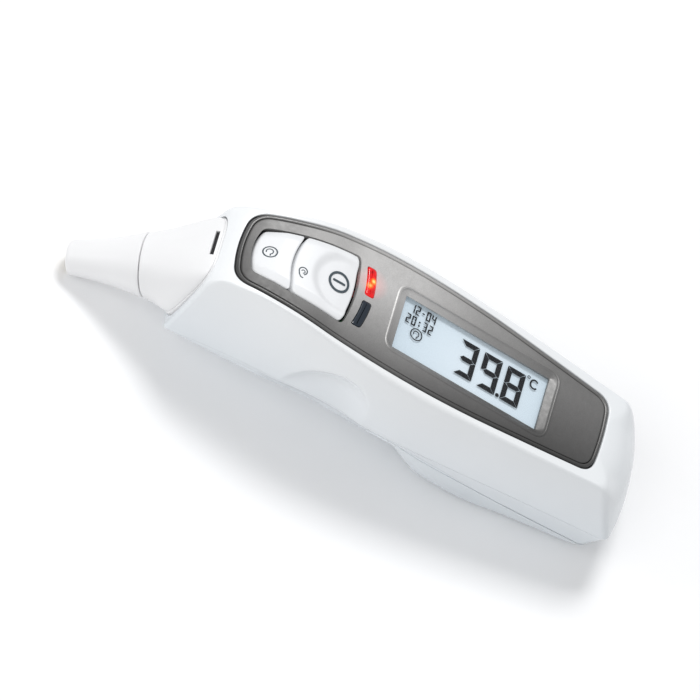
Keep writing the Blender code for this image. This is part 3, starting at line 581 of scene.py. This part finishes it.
def collar_loop(x, inset, scale=1.0):
    """Rounded opening of the casing's front, as a loop in the plane at x; angle 90 degrees is its top."""
    c, s = np.cos(NOSE_ANGLES), np.sin(NOSE_ANGLES)
    power = 2 / COLLAR_SQUARENESS
    across = np.sign(c) * np.abs(c) ** power
    up = np.sign(s) * np.abs(s) ** power
    y = across * (COLLAR_HALF_WIDTH - COLLAR_TAPER * up - inset) * scale
    z = COLLAR_MIDDLE + up * (COLLAR_HALF_HEIGHT - inset) * scale
    return np.column_stack([np.full_like(y, x), y, z])


def front_casing():
    outer = casing_rings(0)
    inner = casing_rings(WALL)[::6]
    lip = [
        on_panel(hole_outline(margin), lift)
        for margin, lift in ((0.35, -1.6), (0.35, -0.32), (0.40, -0.14), (0.49, -0.04))
    ]
    low = outer[-1].copy()
    low[:, 1] *= 0.988
    outer[-1] = outer[-1] + (outer[-2] - outer[-1]) * 0.4
    casing = piece(
        "front_casing_skin", from_rings(lip + outer + [low] + inner[::-1], closed=True), WHITE_GLOSS,
        nodes=["front_casing"],
    )
    cut(casing, [from_loops([collar_loop(x, 0.0) for x in (-70.0, -58.0)])])


def underside_ring(t, inset, drop=0.0):
    """Ring of the rear casing: t is 0 at its outer edge and 1 round the battery cover."""
    edge = outline(
        (TAIL_X - 0.3 - inset, 50.2 - inset), (-60.9 + inset, -60.7 + inset),
        lambda x: along(EDGE_HALF, x) - 0.3 - inset, 1.6, 1.0, UNDER_COUNTS,
    )
    bay = outline(COVER_TAIL, COVER_HEAD, lambda x: along(COVER_HALF, x) - 0.1, 3.0, 4.0, UNDER_COUNTS)
    top = ring(edge, lambda x: along(EDGE_HEIGHT, x) - 0.35)
    low = ring(bay, lambda x: along(COVER_HEIGHT, x))
    points = top + (low - top) * t
    scooped([points])
    points[:, 2] += drop
    return points


def rear_casing():
    steps = (0, 0.02, 0.12, 0.25, 0.38, 0.5, 0.62, 0.74, 0.86, 0.985, 1)
    outer = [underside_ring(t, 0) for t in steps]
    outer[0][:, 1] *= 0.992
    outer[-1][:, 2] += 0.06
    inner = [underside_ring(t, WALL * (1 - t), WALL * t) for t in (1, 0.8, 0.6, 0.35, 0.12, 0)]
    piece(
        "rear_casing_skin", from_rings(outer + inner, closed=True), WHITE_GLOSS,
        nodes=["rear_casing"],
    )


def bowed(rings):
    """Swells the cover's sides towards its head end, where the keel rises like a bow."""
    for points in rings:
        x, y, z = points.T
        top, floor = along(COVER_HEIGHT, x), floor_height(x)
        h = np.clip((z - floor) / (top - floor), 0, 1)
        points[:, 1] += np.sign(y) * BOW_SWELL * 4 * h * (1 - h) * np.clip((20 - x) / 15, 0, 1)
    return rings


def cover_rings(inset):
    """Rings of the battery cover from its parting line down the keel to the foot."""
    part = outline(
        moved(COVER_TAIL, -inset), moved(COVER_HEAD, inset),
        lambda x: along(COVER_HALF, x) - inset, 3.0, 4.0, UNDER_COUNTS,
    )
    sharp = outline(
        (49.6 - inset, 48.8 - inset), (6.8 + inset, 9.0 + inset),
        lambda x: along(FOOT_HALF, x) - inset, 3.0, 5.0, UNDER_COUNTS,
    )
    foot = outline(
        (44.5, 44.0), (14.0, 15.0), lambda x: along(FOOT_HALF, x) - 3.0 - inset, 2.0, 4.0, UNDER_COUNTS
    )
    top = ring(part, lambda x: along(COVER_HEIGHT, x) - 0.04)
    corner = ring(sharp, lambda x: floor_height(x) + inset)
    bottom = ring(foot, lambda x: floor_height(x) + inset)
    return bowed(fillet_between(top, corner, bottom, 5.0, 2.9, (10, 10, 3)))


def battery_cover():
    outer = cover_rings(0)
    inner = cover_rings(COVER_WALL)[::3]
    inner[0][:, 2] = outer[0][:, 2]
    soft = outer[0].copy()
    soft[:, 1] *= 0.985
    outer[0] = outer[0] + (outer[1] - outer[0]) * 0.18
    piece(
        "battery_cover_skin", from_rings(outer[::-1] + [soft] + inner), WHITE_GLOSS, body="cover",
        nodes=["battery_cover"],
    )


# ---------------------------------------------------------------- nose and probe

PROBE_DIRECTION = Vector((-math.cos(PROBE_TILT), 0.0, -math.sin(PROBE_TILT)))
PROBE_UP = Vector((-math.sin(PROBE_TILT), 0.0, math.cos(PROBE_TILT)))


def seam_loop(radius, distance=0.0, angles=NOSE_ANGLES):
    """Circle round the probe's axis, at a distance from the seam between the nose and the probe."""
    c, s = np.cos(angles)[:, None], np.sin(angles)[:, None]
    centre = np.array(SEAM_CENTRE) + np.array(PROBE_DIRECTION) * distance
    return centre + radius * (c * np.array([0.0, 1.0, 0.0]) + s * np.array(PROBE_UP))


def nose_rings(inset, count):
    """Rings of the nose from its foot on the collar to the seam with the probe."""
    foot = collar_loop(HEAD_X - 0.1 + inset, inset, FOOT_SCALE)
    seam = seam_loop(SEAM_RADIUS - inset)
    back = (1.2 + 5.2 * (1 + np.sin(NOSE_ANGLES)) / 2)[:, None]
    lead_out = foot + np.array([-2.4, 0, -0.4])
    lead_in = seam - np.array(PROBE_DIRECTION) * back + (seam - seam.mean(0)) * 0.08
    rings = []
    for t in np.linspace(0, 1, count + 1):
        rings.append(
            (1 - t) ** 3 * foot + 3 * t * (1 - t) ** 2 * lead_out + 3 * t**2 * (1 - t) * lead_in + t**3 * seam
        )
    return rings


def nose_shell(name, picked, finish, node):
    """Part of the collar and nose: the picked columns of its rings, as a shell of even thickness."""
    outer = [collar_loop(-60.0, 0.3), collar_loop(HEAD_X + 0.4, 0.3), collar_loop(HEAD_X + 0.12, 0.42)]
    outer += [collar_loop(HEAD_X, 0.75)] + nose_rings(0, 34)
    outer[-1] = seam_loop(SEAM_RADIUS - 0.02, -0.2)
    outer.append(seam_loop(SEAM_RADIUS - 0.18))
    inner = [collar_loop(-60.0, 3.0)] + [collar_loop(HEAD_X + 1.4, 3.0)] * 3 + nose_rings(1.5, 34)
    inner.append(seam_loop(SEAM_RADIUS - 1.5))
    loops = [np.vstack([a[picked], b[picked][::-1]]) for a, b in zip(outer, inner)]
    return piece(name, from_loops(loops), finish, nodes=[node], angle=46.0)


def slot_block(half_length, half_width, bottom, top):
    """Block in the short slot on top of the nose, between two heights along the surface's normal there."""
    tangent, normal = np.array([-0.75, 0.0, -0.66]), np.array([-0.66, 0.0, 0.75])
    loops = []
    for lift in (bottom, top):
        middle = np.array(SLOT_MIDDLE) + normal * lift
        loops.append(np.array([
            middle + tangent * a * half_width + np.array([0.0, b * half_length, 0.0])
            for a, b in ((1, 1), (1, -1), (-1, -1), (-1, 1))
        ]))
    return from_loops(loops)


def nose():
    half = int(np.sum(np.sin(NOSE_ANGLES) < PARTING_SINE)) // 2
    rest = NOSE_SIDES // 2 - half
    below = [(3 * NOSE_SIDES // 4 + k) % NOSE_SIDES for k in range(-half + 1, half)]
    above = [(NOSE_SIDES // 4 + k) % NOSE_SIDES for k in range(-rest, rest + 1)]
    nose_shell("nose_lower_skin", below, WHITE_SATIN, "nose_under_shell")
    upper = nose_shell("nose_upper_skin", above, WHITE_SATIN, "probe_housing")
    cut(upper, [slot_block(SLOT_HALF_LENGTH, SLOT_HALF_WIDTH, -4.0, 2.0)])
    # A black block set in the slot on top of the nose, darkening it as painted shade.
    floor = slot_block(SLOT_HALF_LENGTH - 0.02, SLOT_HALF_WIDTH - 0.01, -1.2, -0.55)
    piece("nose_slot_shade_block", floor, GAP_SHADE_BLACK)


def probe_nozzle():
    """Hollow cone turned round the probe's axis, from (distance from the seam, radius) pairs."""
    outer = [
        (0.28, 7.25), (0.36, 7.42), (0.6, 7.46), (1.2, 7.25), (2.4, 6.93), (3.7, 6.58), (5.0, 6.25),
        (7.2, 5.70), (9.5, 5.25), (11.8, 4.84), (14.0, 4.5), (16.0, 4.24), (17.3, 4.1), (17.9, 4.0),
        (18.3, 3.8), (18.52, 3.5), (18.6, 3.2),
    ]
    inner = [(18.6, 2.95), (18.45, 2.78), (18.1, 2.7), (14.0, 2.9), (9.5, 3.6), (5.0, 4.8), (0.28, 6.0)]
    angles = np.linspace(0, 2 * np.pi, 112, endpoint=False)
    rings = [seam_loop(radius, distance, angles) for distance, radius in outer + inner]
    nozzle = from_rings(rings, closed=True)
    piece("probe_nozzle_skin", nozzle, WHITE_SATIN, nodes=["probe_nozzle"])


# ---------------------------------------------------------------- panel

PANEL_COUNTS = (10, 10, 120, 10)
RIM_WIDTH = 0.8
RIM_GAP = 0.1


def panel_outline(inset):
    return outline(
        moved(PANEL_TAIL, -inset), moved(PANEL_HEAD, inset),
        lambda x: along(PANEL_HALF, x) - inset, 3.4 - inset * 0.6, 3.2 - inset * 0.6, PANEL_COUNTS,
    )


def panel_rings(profile):
    """Rings for (inset, height over the panel's surface) pairs."""
    return [on_panel(panel_outline(inset), lift) for inset, lift in profile]


def rounded_box(length, width, radius):
    """Outline of a rounded rectangle at the display, from its half-length and half-width."""
    x0, x1 = DISPLAY_CENTRE_X + length, DISPLAY_CENTRE_X - length
    return outline((x0, x0), (x1, x1), lambda x: width + 0 * np.asarray(x), radius, radius, (2, 10, 2, 2))


def window_box(margin, radius):
    """Outline of the display's window, which sits a little towards the far side of its recess."""
    return rounded_box(DISPLAY_HALF_LENGTH + margin, DISPLAY_HALF_WIDTH + margin, radius) + (0, WINDOW_SHIFT)


def recess_box(margin):
    """Outline of the display's recess in the panel, with a margin round it."""
    return rounded_box(RECESS_HALF_LENGTH + margin, RECESS_HALF_WIDTH + margin, RECESS_RADIUS + margin)


def flat_rings(spec):
    """Level rings for (outline, height) pairs."""
    return [ring(shape, lambda x, z=z: z + 0 * x) for shape, z in spec]


def key_outline(tail, head, inset):
    span = (tail[1] - head[1]) / 2
    corner = max(0.04, min(1.3, 0.8 * (span - inset)))
    return outline(
        moved(tail, -inset), moved(head, inset),
        lambda x: along(KEY_HALF, x) - inset, corner, corner, (8, 8, 26, 8),
    )


def lamp_block(side, inset, low, high, crown=0.0):
    """Curved lamp window: rings from the bottom to a softly rounded top."""
    base = float(along(PANEL_HEIGHT, LAMP_X))

    def loop(extra, z):
        start, stop = LAMP_INNER_Y + inset + extra, LAMP_OUTER_Y - inset - extra
        turn = LAMP_END_RADIUS * (1 - np.cos(np.linspace(0, np.pi / 2, 6)))
        straight = np.linspace(start + LAMP_END_RADIUS, stop - LAMP_END_RADIUS, 14)[1:-1]
        steps = np.concatenate([start + turn, straight, stop - turn[::-1]])
        middle = LAMP_X - LAMP_BOW * (steps / LAMP_OUTER_Y) ** 2
        to_end = np.clip(np.minimum(steps - start, stop - steps) / LAMP_END_RADIUS, 0, 1)
        half = LAMP_WIDTH / 2 - inset - extra - LAMP_END_RADIUS * (1 - np.sqrt(1 - (1 - to_end) ** 2))
        xs = np.concatenate([middle - half, (middle + half)[::-1]])
        return np.column_stack([xs, side * np.concatenate([steps, steps[::-1]]), np.full_like(xs, base + z)])

    loops = [loop(0, low), loop(0, high)]
    if crown:
        loops += [loop(0.12, high + crown * 0.6), loop(0.3, high + crown * 0.9), loop(0.6, high + crown)]
    return from_loops(loops)


def control_panel():
    rim = panel_rings((
        (0, -1.4), (0, -0.25), (0.05, -0.08), (0.13, 0.03), (0.26, 0.09), (0.42, 0.11), (0.57, 0.08),
        (0.68, 0.01), (0.76, -0.1), (RIM_WIDTH, -0.25), (RIM_WIDTH, -1.4),
    ))
    piece(
        "panel_rim", from_rings(rim, closed=True), PANEL_RIM, nodes=["control_panel"]
    )
    inner = RIM_WIDTH + RIM_GAP
    field = piece(
        "panel_field",
        from_rings(panel_rings(
            ((inner, -1.4), (inner, -0.2), (inner + 0.04, -0.08), (inner + 0.14, -0.01), (inner + 0.3, 0.0))
        )),
        PANEL_GREY,
    )
    well = key_outline(WELL_TAIL, WELL_HEAD, -0.3)
    recess = flat_rings([
        (window_box(0, 0.3), -4.0),
        (window_box(0, 0.3), -0.45),
        (window_box(0.25, 0.5), -0.32),
        (rounded_box(RECESS_HALF_LENGTH - 0.35, RECESS_HALF_WIDTH - 0.35, RECESS_RADIUS - 0.3), 0.12),
        (recess_box(0), 0.42),
        (recess_box(0), 3.0),
    ])
    bead = [
        on_panel(recess_box(margin), lift)
        for margin, lift in (
            (0.1, -0.5), (0.1, 0.05), (0.2, 0.13), (0.36, 0.17), (0.55, 0.14), (0.75, 0.04), (0.85, -0.5)
        )
    ]
    piece("display_bead", from_rings(bead, closed=True), PANEL_GREY)
    tools = [from_rings([on_panel(well, lift) for lift in (-4, 4)]), from_rings(recess)]
    tools += [lamp_block(side, -0.16, -4.0, 3.0) for side in (1, -1)]
    cut(field, tools, 0.1)
    # A black strip, like a gasket, under the gap round the panel: it darkens the gap as painted shade.
    seal_inner = RIM_WIDTH + 0.4
    gap_shade_seal = panel_rings(((-0.33, -1.5), (-0.33, -0.75), (seal_inner, -0.75), (seal_inner, -1.5)))
    piece("panel_gap_shade_seal", from_rings(gap_shade_seal, closed=True), GAP_SHADE_BLACK)


# ---------------------------------------------------------------- keys

DISH_CENTRE_X, DISH_RADIUS, DISH_DEPTH = -36.0, 8.2, 1.0
KEYS = {
    "forehead_key": {"tail": (-48.7, -47.2), "head": (-56.9, -55.7), "crown": 0.95, "rings": 14},
    "ear_key": {"tail": (-32.6, -34.0), "head": (-48.1, -46.6), "crown": 0.9, "rings": 26},
}


def key_height(name, x, y):
    """Height of a key's top: sloping near and far sides, a front facet or a thumb dish, rounded edges."""
    key = KEYS[name]
    x, y = np.asarray(x, float), np.asarray(y, float)
    half = along(KEY_HALF, x)
    across = (y / np.maximum(half, 1)) ** 2
    to_side = half - np.abs(y)
    to_head = x - (key["head"][0] + (key["head"][1] - key["head"][0]) * across)
    to_tail = key["tail"][0] + (key["tail"][1] - key["tail"][0]) * across - x
    slope = 1 - np.sqrt(np.maximum(0, 1 - np.clip(to_side / 2.1, 0, 1)) ** 2 + 0.003)
    height = along(PANEL_HEIGHT, x) + 0.05 + key["crown"] * slope
    if name == "forehead_key":
        fall = np.maximum(0, -51.9 + 0.12 * np.abs(y) - x)
        height -= 0.27 * (np.sqrt(fall**2 + 0.03) - 0.17)
    else:
        away = np.hypot(x - DISH_CENTRE_X, y * 0.98) / DISH_RADIUS
        height -= DISH_DEPTH * (1 - smooth_step((away - 0.68) / 0.32))
        height -= 0.35 * smooth_step((x + 36.5) / 4.5)
    edge = np.clip(np.minimum(np.minimum(to_side, to_head), to_tail) / 0.5, 0, 1)
    return height - 0.38 * (1 - np.sqrt(1 - (1 - edge) ** 2))


def keys():
    for name, key in KEYS.items():
        tail, head = key["tail"], key["head"]
        reach = (tail[1] - head[1]) / 2 - 0.12
        rings = [on_panel(key_outline(tail, head, 0), -2.4)]
        for inset in (0, 0.03, 0.09, 0.18, 0.3, 0.45, *np.linspace(0.6, reach, key["rings"])):
            points = ring(key_outline(tail, head, inset), lambda x: 0 * x)
            points[:, 2] = key_height(name, points[:, 0], points[:, 1])
            rings.append(points)
        piece(
            name + "_cap", from_loops(rings), KEY_WHITE, body=name, nodes=[name], angle=50.0
        )


def printed(name, loops, height, finish, body, thickness=0.05):
    """Thin printed shapes on the surface given by height: (outline, hole's outline or None) pairs."""
    points, faces = [], []
    for outer, hole in loops:
        count = len(outer)
        start = len(points)
        sets = [np.asarray(loop, float) for loop in (outer, hole) if loop is not None]
        for lift in (0.0, thickness):
            for flat in sets:
                z = height(flat[:, 0], flat[:, 1]) + lift - thickness * 0.5
                points += [tuple(p) for p in np.column_stack([flat, z])]
        layer = count * len(sets)
        for i in range(count):
            j = (i + 1) % count
            faces.append((start + i, start + j, start + layer + j, start + layer + i))
            if hole is not None:
                a, b = start + count, start + layer + count
                faces.append((a + j, a + i, b + i, b + j))
                faces.append((start + layer + i, start + layer + j, b + j, b + i))
                faces.append((start + j, start + i, a + i, a + j))
        if hole is None:
            faces.append(tuple(range(start + layer, start + layer + count)))
            faces.append(tuple(range(start + count - 1, start - 1, -1)))
    piece(name, (np.array(points), faces), finish, body=body)


def circle(x, y, radius, count=48):
    a = np.linspace(0, 2 * np.pi, count, endpoint=False)
    return np.column_stack([x + radius * np.cos(a), y + radius * np.sin(a)])


def stroke(path, width):
    """Outline of a line of even width with round ends through the points of path."""
    path = np.asarray(path, float)
    way = np.gradient(path, axis=0)
    way /= np.linalg.norm(way, axis=1, keepdims=True)
    side = np.column_stack([-way[:, 1], way[:, 0]]) * width / 2
    turn = np.linspace(np.pi / 2, -np.pi / 2, 7)[1:-1, None]
    end = path[-1] + (np.cos(turn) * way[-1] * width / 2 + np.sin(turn) * side[-1])
    start = path[0] + (-np.cos(turn) * way[0] * width / 2 - np.sin(turn) * side[0])
    return np.vstack([path + side, end, (path - side)[::-1], start])


def arc(x, y, radius, start, end, count=20, squash=1.0):
    a = np.radians(np.linspace(start, end, count))
    return np.column_stack([x + radius * np.cos(a), y + radius * squash * np.sin(a)])


def face_mark(x, y, radius, width):
    """Generic mark: a head in profile facing the tail, inside a circle."""
    marks = [(circle(x, y, radius), circle(x, y, radius - width))]
    r = radius * 0.5
    marks.append((stroke(arc(x - 0.1 * r, y + 0.1 * r, r * 0.9, -60, 200), width * 0.8), None))
    marks.append((stroke([(x + 0.2 * r, y - 0.75 * r), (x + 0.25 * r, y - 1.25 * r)], width * 0.8), None))
    return marks


def on_key(name, lift):
    """Height function for marks that stand a little over a key's top."""
    return lambda x, y: key_height(name, x, y) + lift


def symbols():
    """Generic marks on the keys: a line in a circle, a head, and an ear."""
    x, y = -36.8, 0.3
    power = [
        (circle(x, y, 2.7, 96), circle(x, y, 2.14, 96)),
        (stroke([(x - 1.4 + 0.28 * k, y) for k in range(11)], 0.5), None),
    ]
    printed("power_mark", power, on_key("ear_key", 0.12), INK_GREY, "ear_key", 0.14)
    head = face_mark(-53.9, 0.0, 1.55, 0.28)
    printed("forehead_mark", head, on_key("forehead_key", 0.03), INK_GREY, "forehead_key")
    lobe = [(-46.55, -3.1), (-46.1, -3.7), (-45.6, -3.75)]
    ear = [
        (stroke(np.vstack([arc(-45.9, -2.0, 0.95, -60, 200, 24), lobe]), 0.27), None),
        (stroke(arc(-45.85, -2.15, 0.42, -80, 160, 14), 0.22), None),
    ]
    printed("ear_mark", ear, on_key("ear_key", 0.03), INK_GREY, "ear_key")


# ---------------------------------------------------------------- display

SEGMENTS = {
    "0": "abcdef", "1": "bc", "2": "abged", "3": "abgcd", "4": "fgbc",
    "8": "abcdefg", "9": "abcdfg", "-": "g",
}
FIGURES_SHIFT = (0.12, WINDOW_SHIFT)


def segment_shapes(figure, x, y, w, h, t, g):
    """Polygons of one figure's lit segments: lower left corner x, y; width, height, thickness and gap."""
    half = h / 2
    shapes = {
        "a": [(g, h), (w - g, h), (w - t - g, h - t), (t + g, h - t)],
        "d": [(g, 0), (t + g, t), (w - t - g, t), (w - g, 0)],
        "f": [(0, h - g), (t, h - t - g), (t, half + t / 2 + g), (t * 0.35, half + g), (0, half + g)],
        "e": [(0, g), (0, half - g), (t * 0.35, half - g), (t, half - t / 2 - g), (t, t + g)],
        "b": [
            (w, h - g), (w, half + g), (w - t * 0.35, half + g),
            (w - t, half + t / 2 + g), (w - t, h - t - g),
        ],
        "c": [(w, g), (w - t, t + g), (w - t, half - t / 2 - g), (w - t * 0.35, half - g), (w, half - g)],
        "g": [
            (t * 0.45 + g, half), (t + g, half + t / 2), (w - t - g, half + t / 2), (w - t * 0.45 - g, half),
            (w - t - g, half - t / 2), (t + g, half - t / 2),
        ],
    }
    return [([(x + px, y + py) for px, py in shapes[key]], None) for key in SEGMENTS[figure]]


def display():
    """A reading with its unit, a date and a time, and the window over them."""
    shapes = []
    for figure, x in (("3", -3.3), ("9", 3.05), ("8", 9.45)):
        shapes += segment_shapes(figure, x, -4.85, 4.9, 9.55, 1.3, 0.09)
    shapes.append((circle(8.72, -4.35, 0.5, 20), None))
    for row, x0, y0, pitch in (("12-04", -17.6, 3.85, 1.42), ("20 32", -18.1, 0.75, 1.52)):
        for k, figure in enumerate(row):
            if figure != " ":
                shapes += segment_shapes(figure, x0 + k * pitch, y0, 1.14, 2.5, 0.34, 0.02)
    for y in (1.5, 2.45):
        shapes.append((circle(-14.5, y, 0.24, 12), None))
    shapes += face_mark(-14.5, -1.05, 1.6, 0.26)
    shapes.append((circle(15.1, 4.75, 0.42, 20), circle(15.1, 4.75, 0.24, 20)))
    shapes.append((stroke(arc(16.85, 3.6, 1.0, 50, 310, 24, 1.15), 0.4), None))
    shapes = [
        [None if loop is None else np.asarray(loop, float) + FIGURES_SHIFT for loop in pair]
        for pair in shapes
    ]
    printed("display_figures", shapes, lambda x, y: DIGITS_HEIGHT + 0 * x, LCD_INK, "root", 0.06)
    glass = flat_rings([
        (window_box(0.6, 0.3), GLASS_TOP - 0.4),
        (window_box(0.6, 0.3), GLASS_TOP - 0.03),
        (window_box(0.57, 0.3), GLASS_TOP),
    ])
    piece("display_glass", from_rings(glass), WINDOW_CLEAR, nodes=["display_window"])


def lamps():
    lit = lamp_block(1, 0, -1.6, 0.02, 0.22)
    piece("lamp_lit", lit, LAMP_RED, nodes=["red_lamp_window"])
    unlit = lamp_block(-1, 0, -1.6, -0.02, 0.14)
    piece("lamp_unlit", unlit, LAMP_DARK, nodes=["green_lamp_window"])


# ---------------------------------------------------------------- finishes

WHITE_GLOSS = casing_gloss("white_gloss", (0.865, 0.88, 0.89))
WHITE_SATIN = moulded("white_satin", (0.86, 0.86, 0.865), 0.36, grain=1800.0, depth=2e-6, vary=0.015)
KEY_WHITE = moulded("key_white", (0.84, 0.85, 0.865), 0.32, grain=2500.0, depth=1.5e-6, vary=0.015)
# Both panel finishes carry painted reflection; the panel's lacquer also carries a painted red glow round the
# lit lamp.
PANEL_GREY = panel_metal("panel_lacquer", 1.5, 0.45, painted_red_glow=0.22)
PANEL_RIM = panel_metal("panel_rim_lacquer", 1.4, 0.36)
# Black for things set under gaps and slots to darken them as painted shade.
GAP_SHADE_BLACK = moulded("gap_shade_black", (0.012, 0.012, 0.014), 0.7, grain=900.0, depth=4e-6)
INK_GREY = moulded("ink_grey", (0.05, 0.07, 0.085), 0.45, grain=3000.0, depth=1e-6)
LCD_INK = moulded("lcd_ink", (0.006, 0.007, 0.01), 0.4, grain=3000.0, depth=1e-6)
LCD_FACE = display_glass("lcd_face")
WINDOW_CLEAR = clear("window_clear", (0.02, 0.025, 0.03), 0.06)
LAMP_RED = lamp_glow("lamp_lit_red")
LAMP_DARK = moulded("lamp_unlit", (0.012, 0.02, 0.032), 0.22, grain=700.0, depth=3e-6, coat=0.15)

INNER_FINISHES = {
    "circuit_board": moulded("board_green", (0.015, 0.16, 0.07), 0.35, grain=1500.0, depth=6e-6, vary=0.12),
    "chip": moulded("chip_black", (0.02, 0.02, 0.022), 0.5, grain=4000.0, depth=4e-6),
    "black_plastic": moulded("plastic_black", (0.03, 0.03, 0.033), 0.45, grain=2200.0, depth=5e-6),
    "light_guide": moulded("light_guide", (0.85, 0.88, 0.92), 0.3, grain=1500.0, depth=2e-6),
    "rubber": moulded("contact_rubber", (0.28, 0.28, 0.29), 0.8, grain=1800.0, depth=6e-6, vary=0.08),
    "steel": brushed("nickel_steel", (0.62, 0.62, 0.64), 0.3),
    "brass": brushed("turned_brass", (0.78, 0.58, 0.24), 0.28),
    "gold": brushed("gold_plate", (0.92, 0.70, 0.28), 0.16),
    "led_red": moulded("led_red_body", (0.6, 0.06, 0.05), 0.2, coat=0.4),
    "led_green": moulded("led_green_body", (0.06, 0.45, 0.14), 0.2, coat=0.4),
    "ribbon": moulded("ribbon_amber", (0.55, 0.27, 0.05), 0.35, grain=900.0, depth=4e-6, vary=0.1),
    "cell": moulded("cell_sleeve", (0.06, 0.14, 0.34), 0.25, grain=500.0, depth=3e-6, vary=0.08, coat=0.4),
    "window_clear": clear("film_clear", (0.93, 0.97, 1.0), 0.3),
    "lcd": LCD_FACE,
}


def dress_inner_nodes(replaced):
    """Gives every CAD node that stays visible its procedural finish."""
    slots = {entry["node"]: entry["material_slot"] for entry in frame["record"]["subparts"]}
    for name, obj in frame["nodes"].items():
        if name in replaced:
            continue
        finish = INNER_FINISHES[slots[name]]
        for index in range(len(obj.material_slots)):
            obj.material_slots[index].material = finish


# ---------------------------------------------------------------- stage, lights and camera


def studio():
    floor_mesh = bpy.data.meshes.new("floor")
    bm = bmesh.new()
    bmesh.ops.create_grid(bm, x_segments=8, y_segments=8, size=12.0)
    bm.to_mesh(floor_mesh)
    bm.free()
    floor = bpy.data.objects.new("floor", floor_mesh)
    floor.location = (0, 0, -0.0002)
    bpy.context.scene.collection.objects.link(floor)
    floor_mesh.materials.append(moulded(
        "floor_white", (0.93, 0.93, 0.935), 0.6, grain=40.0, depth=0.0, vary=0.004,
        Emission_Color=(0.96, 0.98, 1.0), Emission_Strength=0.05,
    ))

    world = bpy.data.worlds.new("studio")
    bpy.context.scene.world = world
    world.use_nodes = True
    background = world.node_tree.nodes["Background"]
    background.inputs["Color"].default_value = (0.975, 0.985, 1.0, 1.0)
    background.inputs["Strength"].default_value = 0.45

    for name, place, target, size, power in (
        ("key", (-0.2, 0.5, 1.2), (0, 0, 0.02), (0.45, 0.4), 8.6),
        ("near_fill", (-0.5, -0.7, 0.9), (0, 0, 0.02), (0.8, 0.6), 3.5),
        ("head_strip", (-1.0, -0.3, 0.5), (-0.03, 0, 0.02), (0.3, 0.7), 1.2),
    ):
        light = bpy.data.lights.new(name, "AREA")
        light.shape = "RECTANGLE"
        light.size, light.size_y = size
        light.energy = power
        lamp = bpy.data.objects.new(name, light)
        lamp.location = place
        lamp.rotation_euler = (Vector(target) - Vector(place)).to_track_quat("-Z", "Y").to_euler()
        bpy.context.scene.collection.objects.link(lamp)


def camera():
    """Long lens from far away, placed and turned in the body's frame."""
    turn = Matrix.Rotation(REST_TILT, 3, "Y")
    right = turn @ Vector((0.82061, 0.23303, 0.52181))
    down = turn @ Vector((0.47740, -0.78143, -0.40181))
    forward = turn @ Vector((0.31413, 0.57884, -0.75250))
    made = bpy.data.cameras.new("camera")
    made.lens = 822.9
    made.sensor_width = 36.0
    made.clip_start, made.clip_end = 0.5, 60.0
    obj = bpy.data.objects.new("camera", made)
    bpy.context.scene.collection.objects.link(obj)
    matrix = Matrix((right, -down, -forward)).transposed().to_4x4()
    matrix.translation = TO_WORLD @ Vector((-1160.963, -2099.754, 2710.730))
    obj.matrix_world = matrix
    bpy.context.scene.camera = obj


bpy.context.scene.view_settings.view_transform = "Standard"
camera()
studio()
front_casing()
rear_casing()
battery_cover()
nose()
probe_nozzle()
control_panel()
keys()
symbols()
display()
lamps()
dress_inner_nodes({
    "front_casing", "rear_casing", "battery_cover", "nose_under_shell", "probe_housing", "probe_nozzle",
    "control_panel", "forehead_key", "ear_key", "display_window", "red_lamp_window", "green_lamp_window",
})
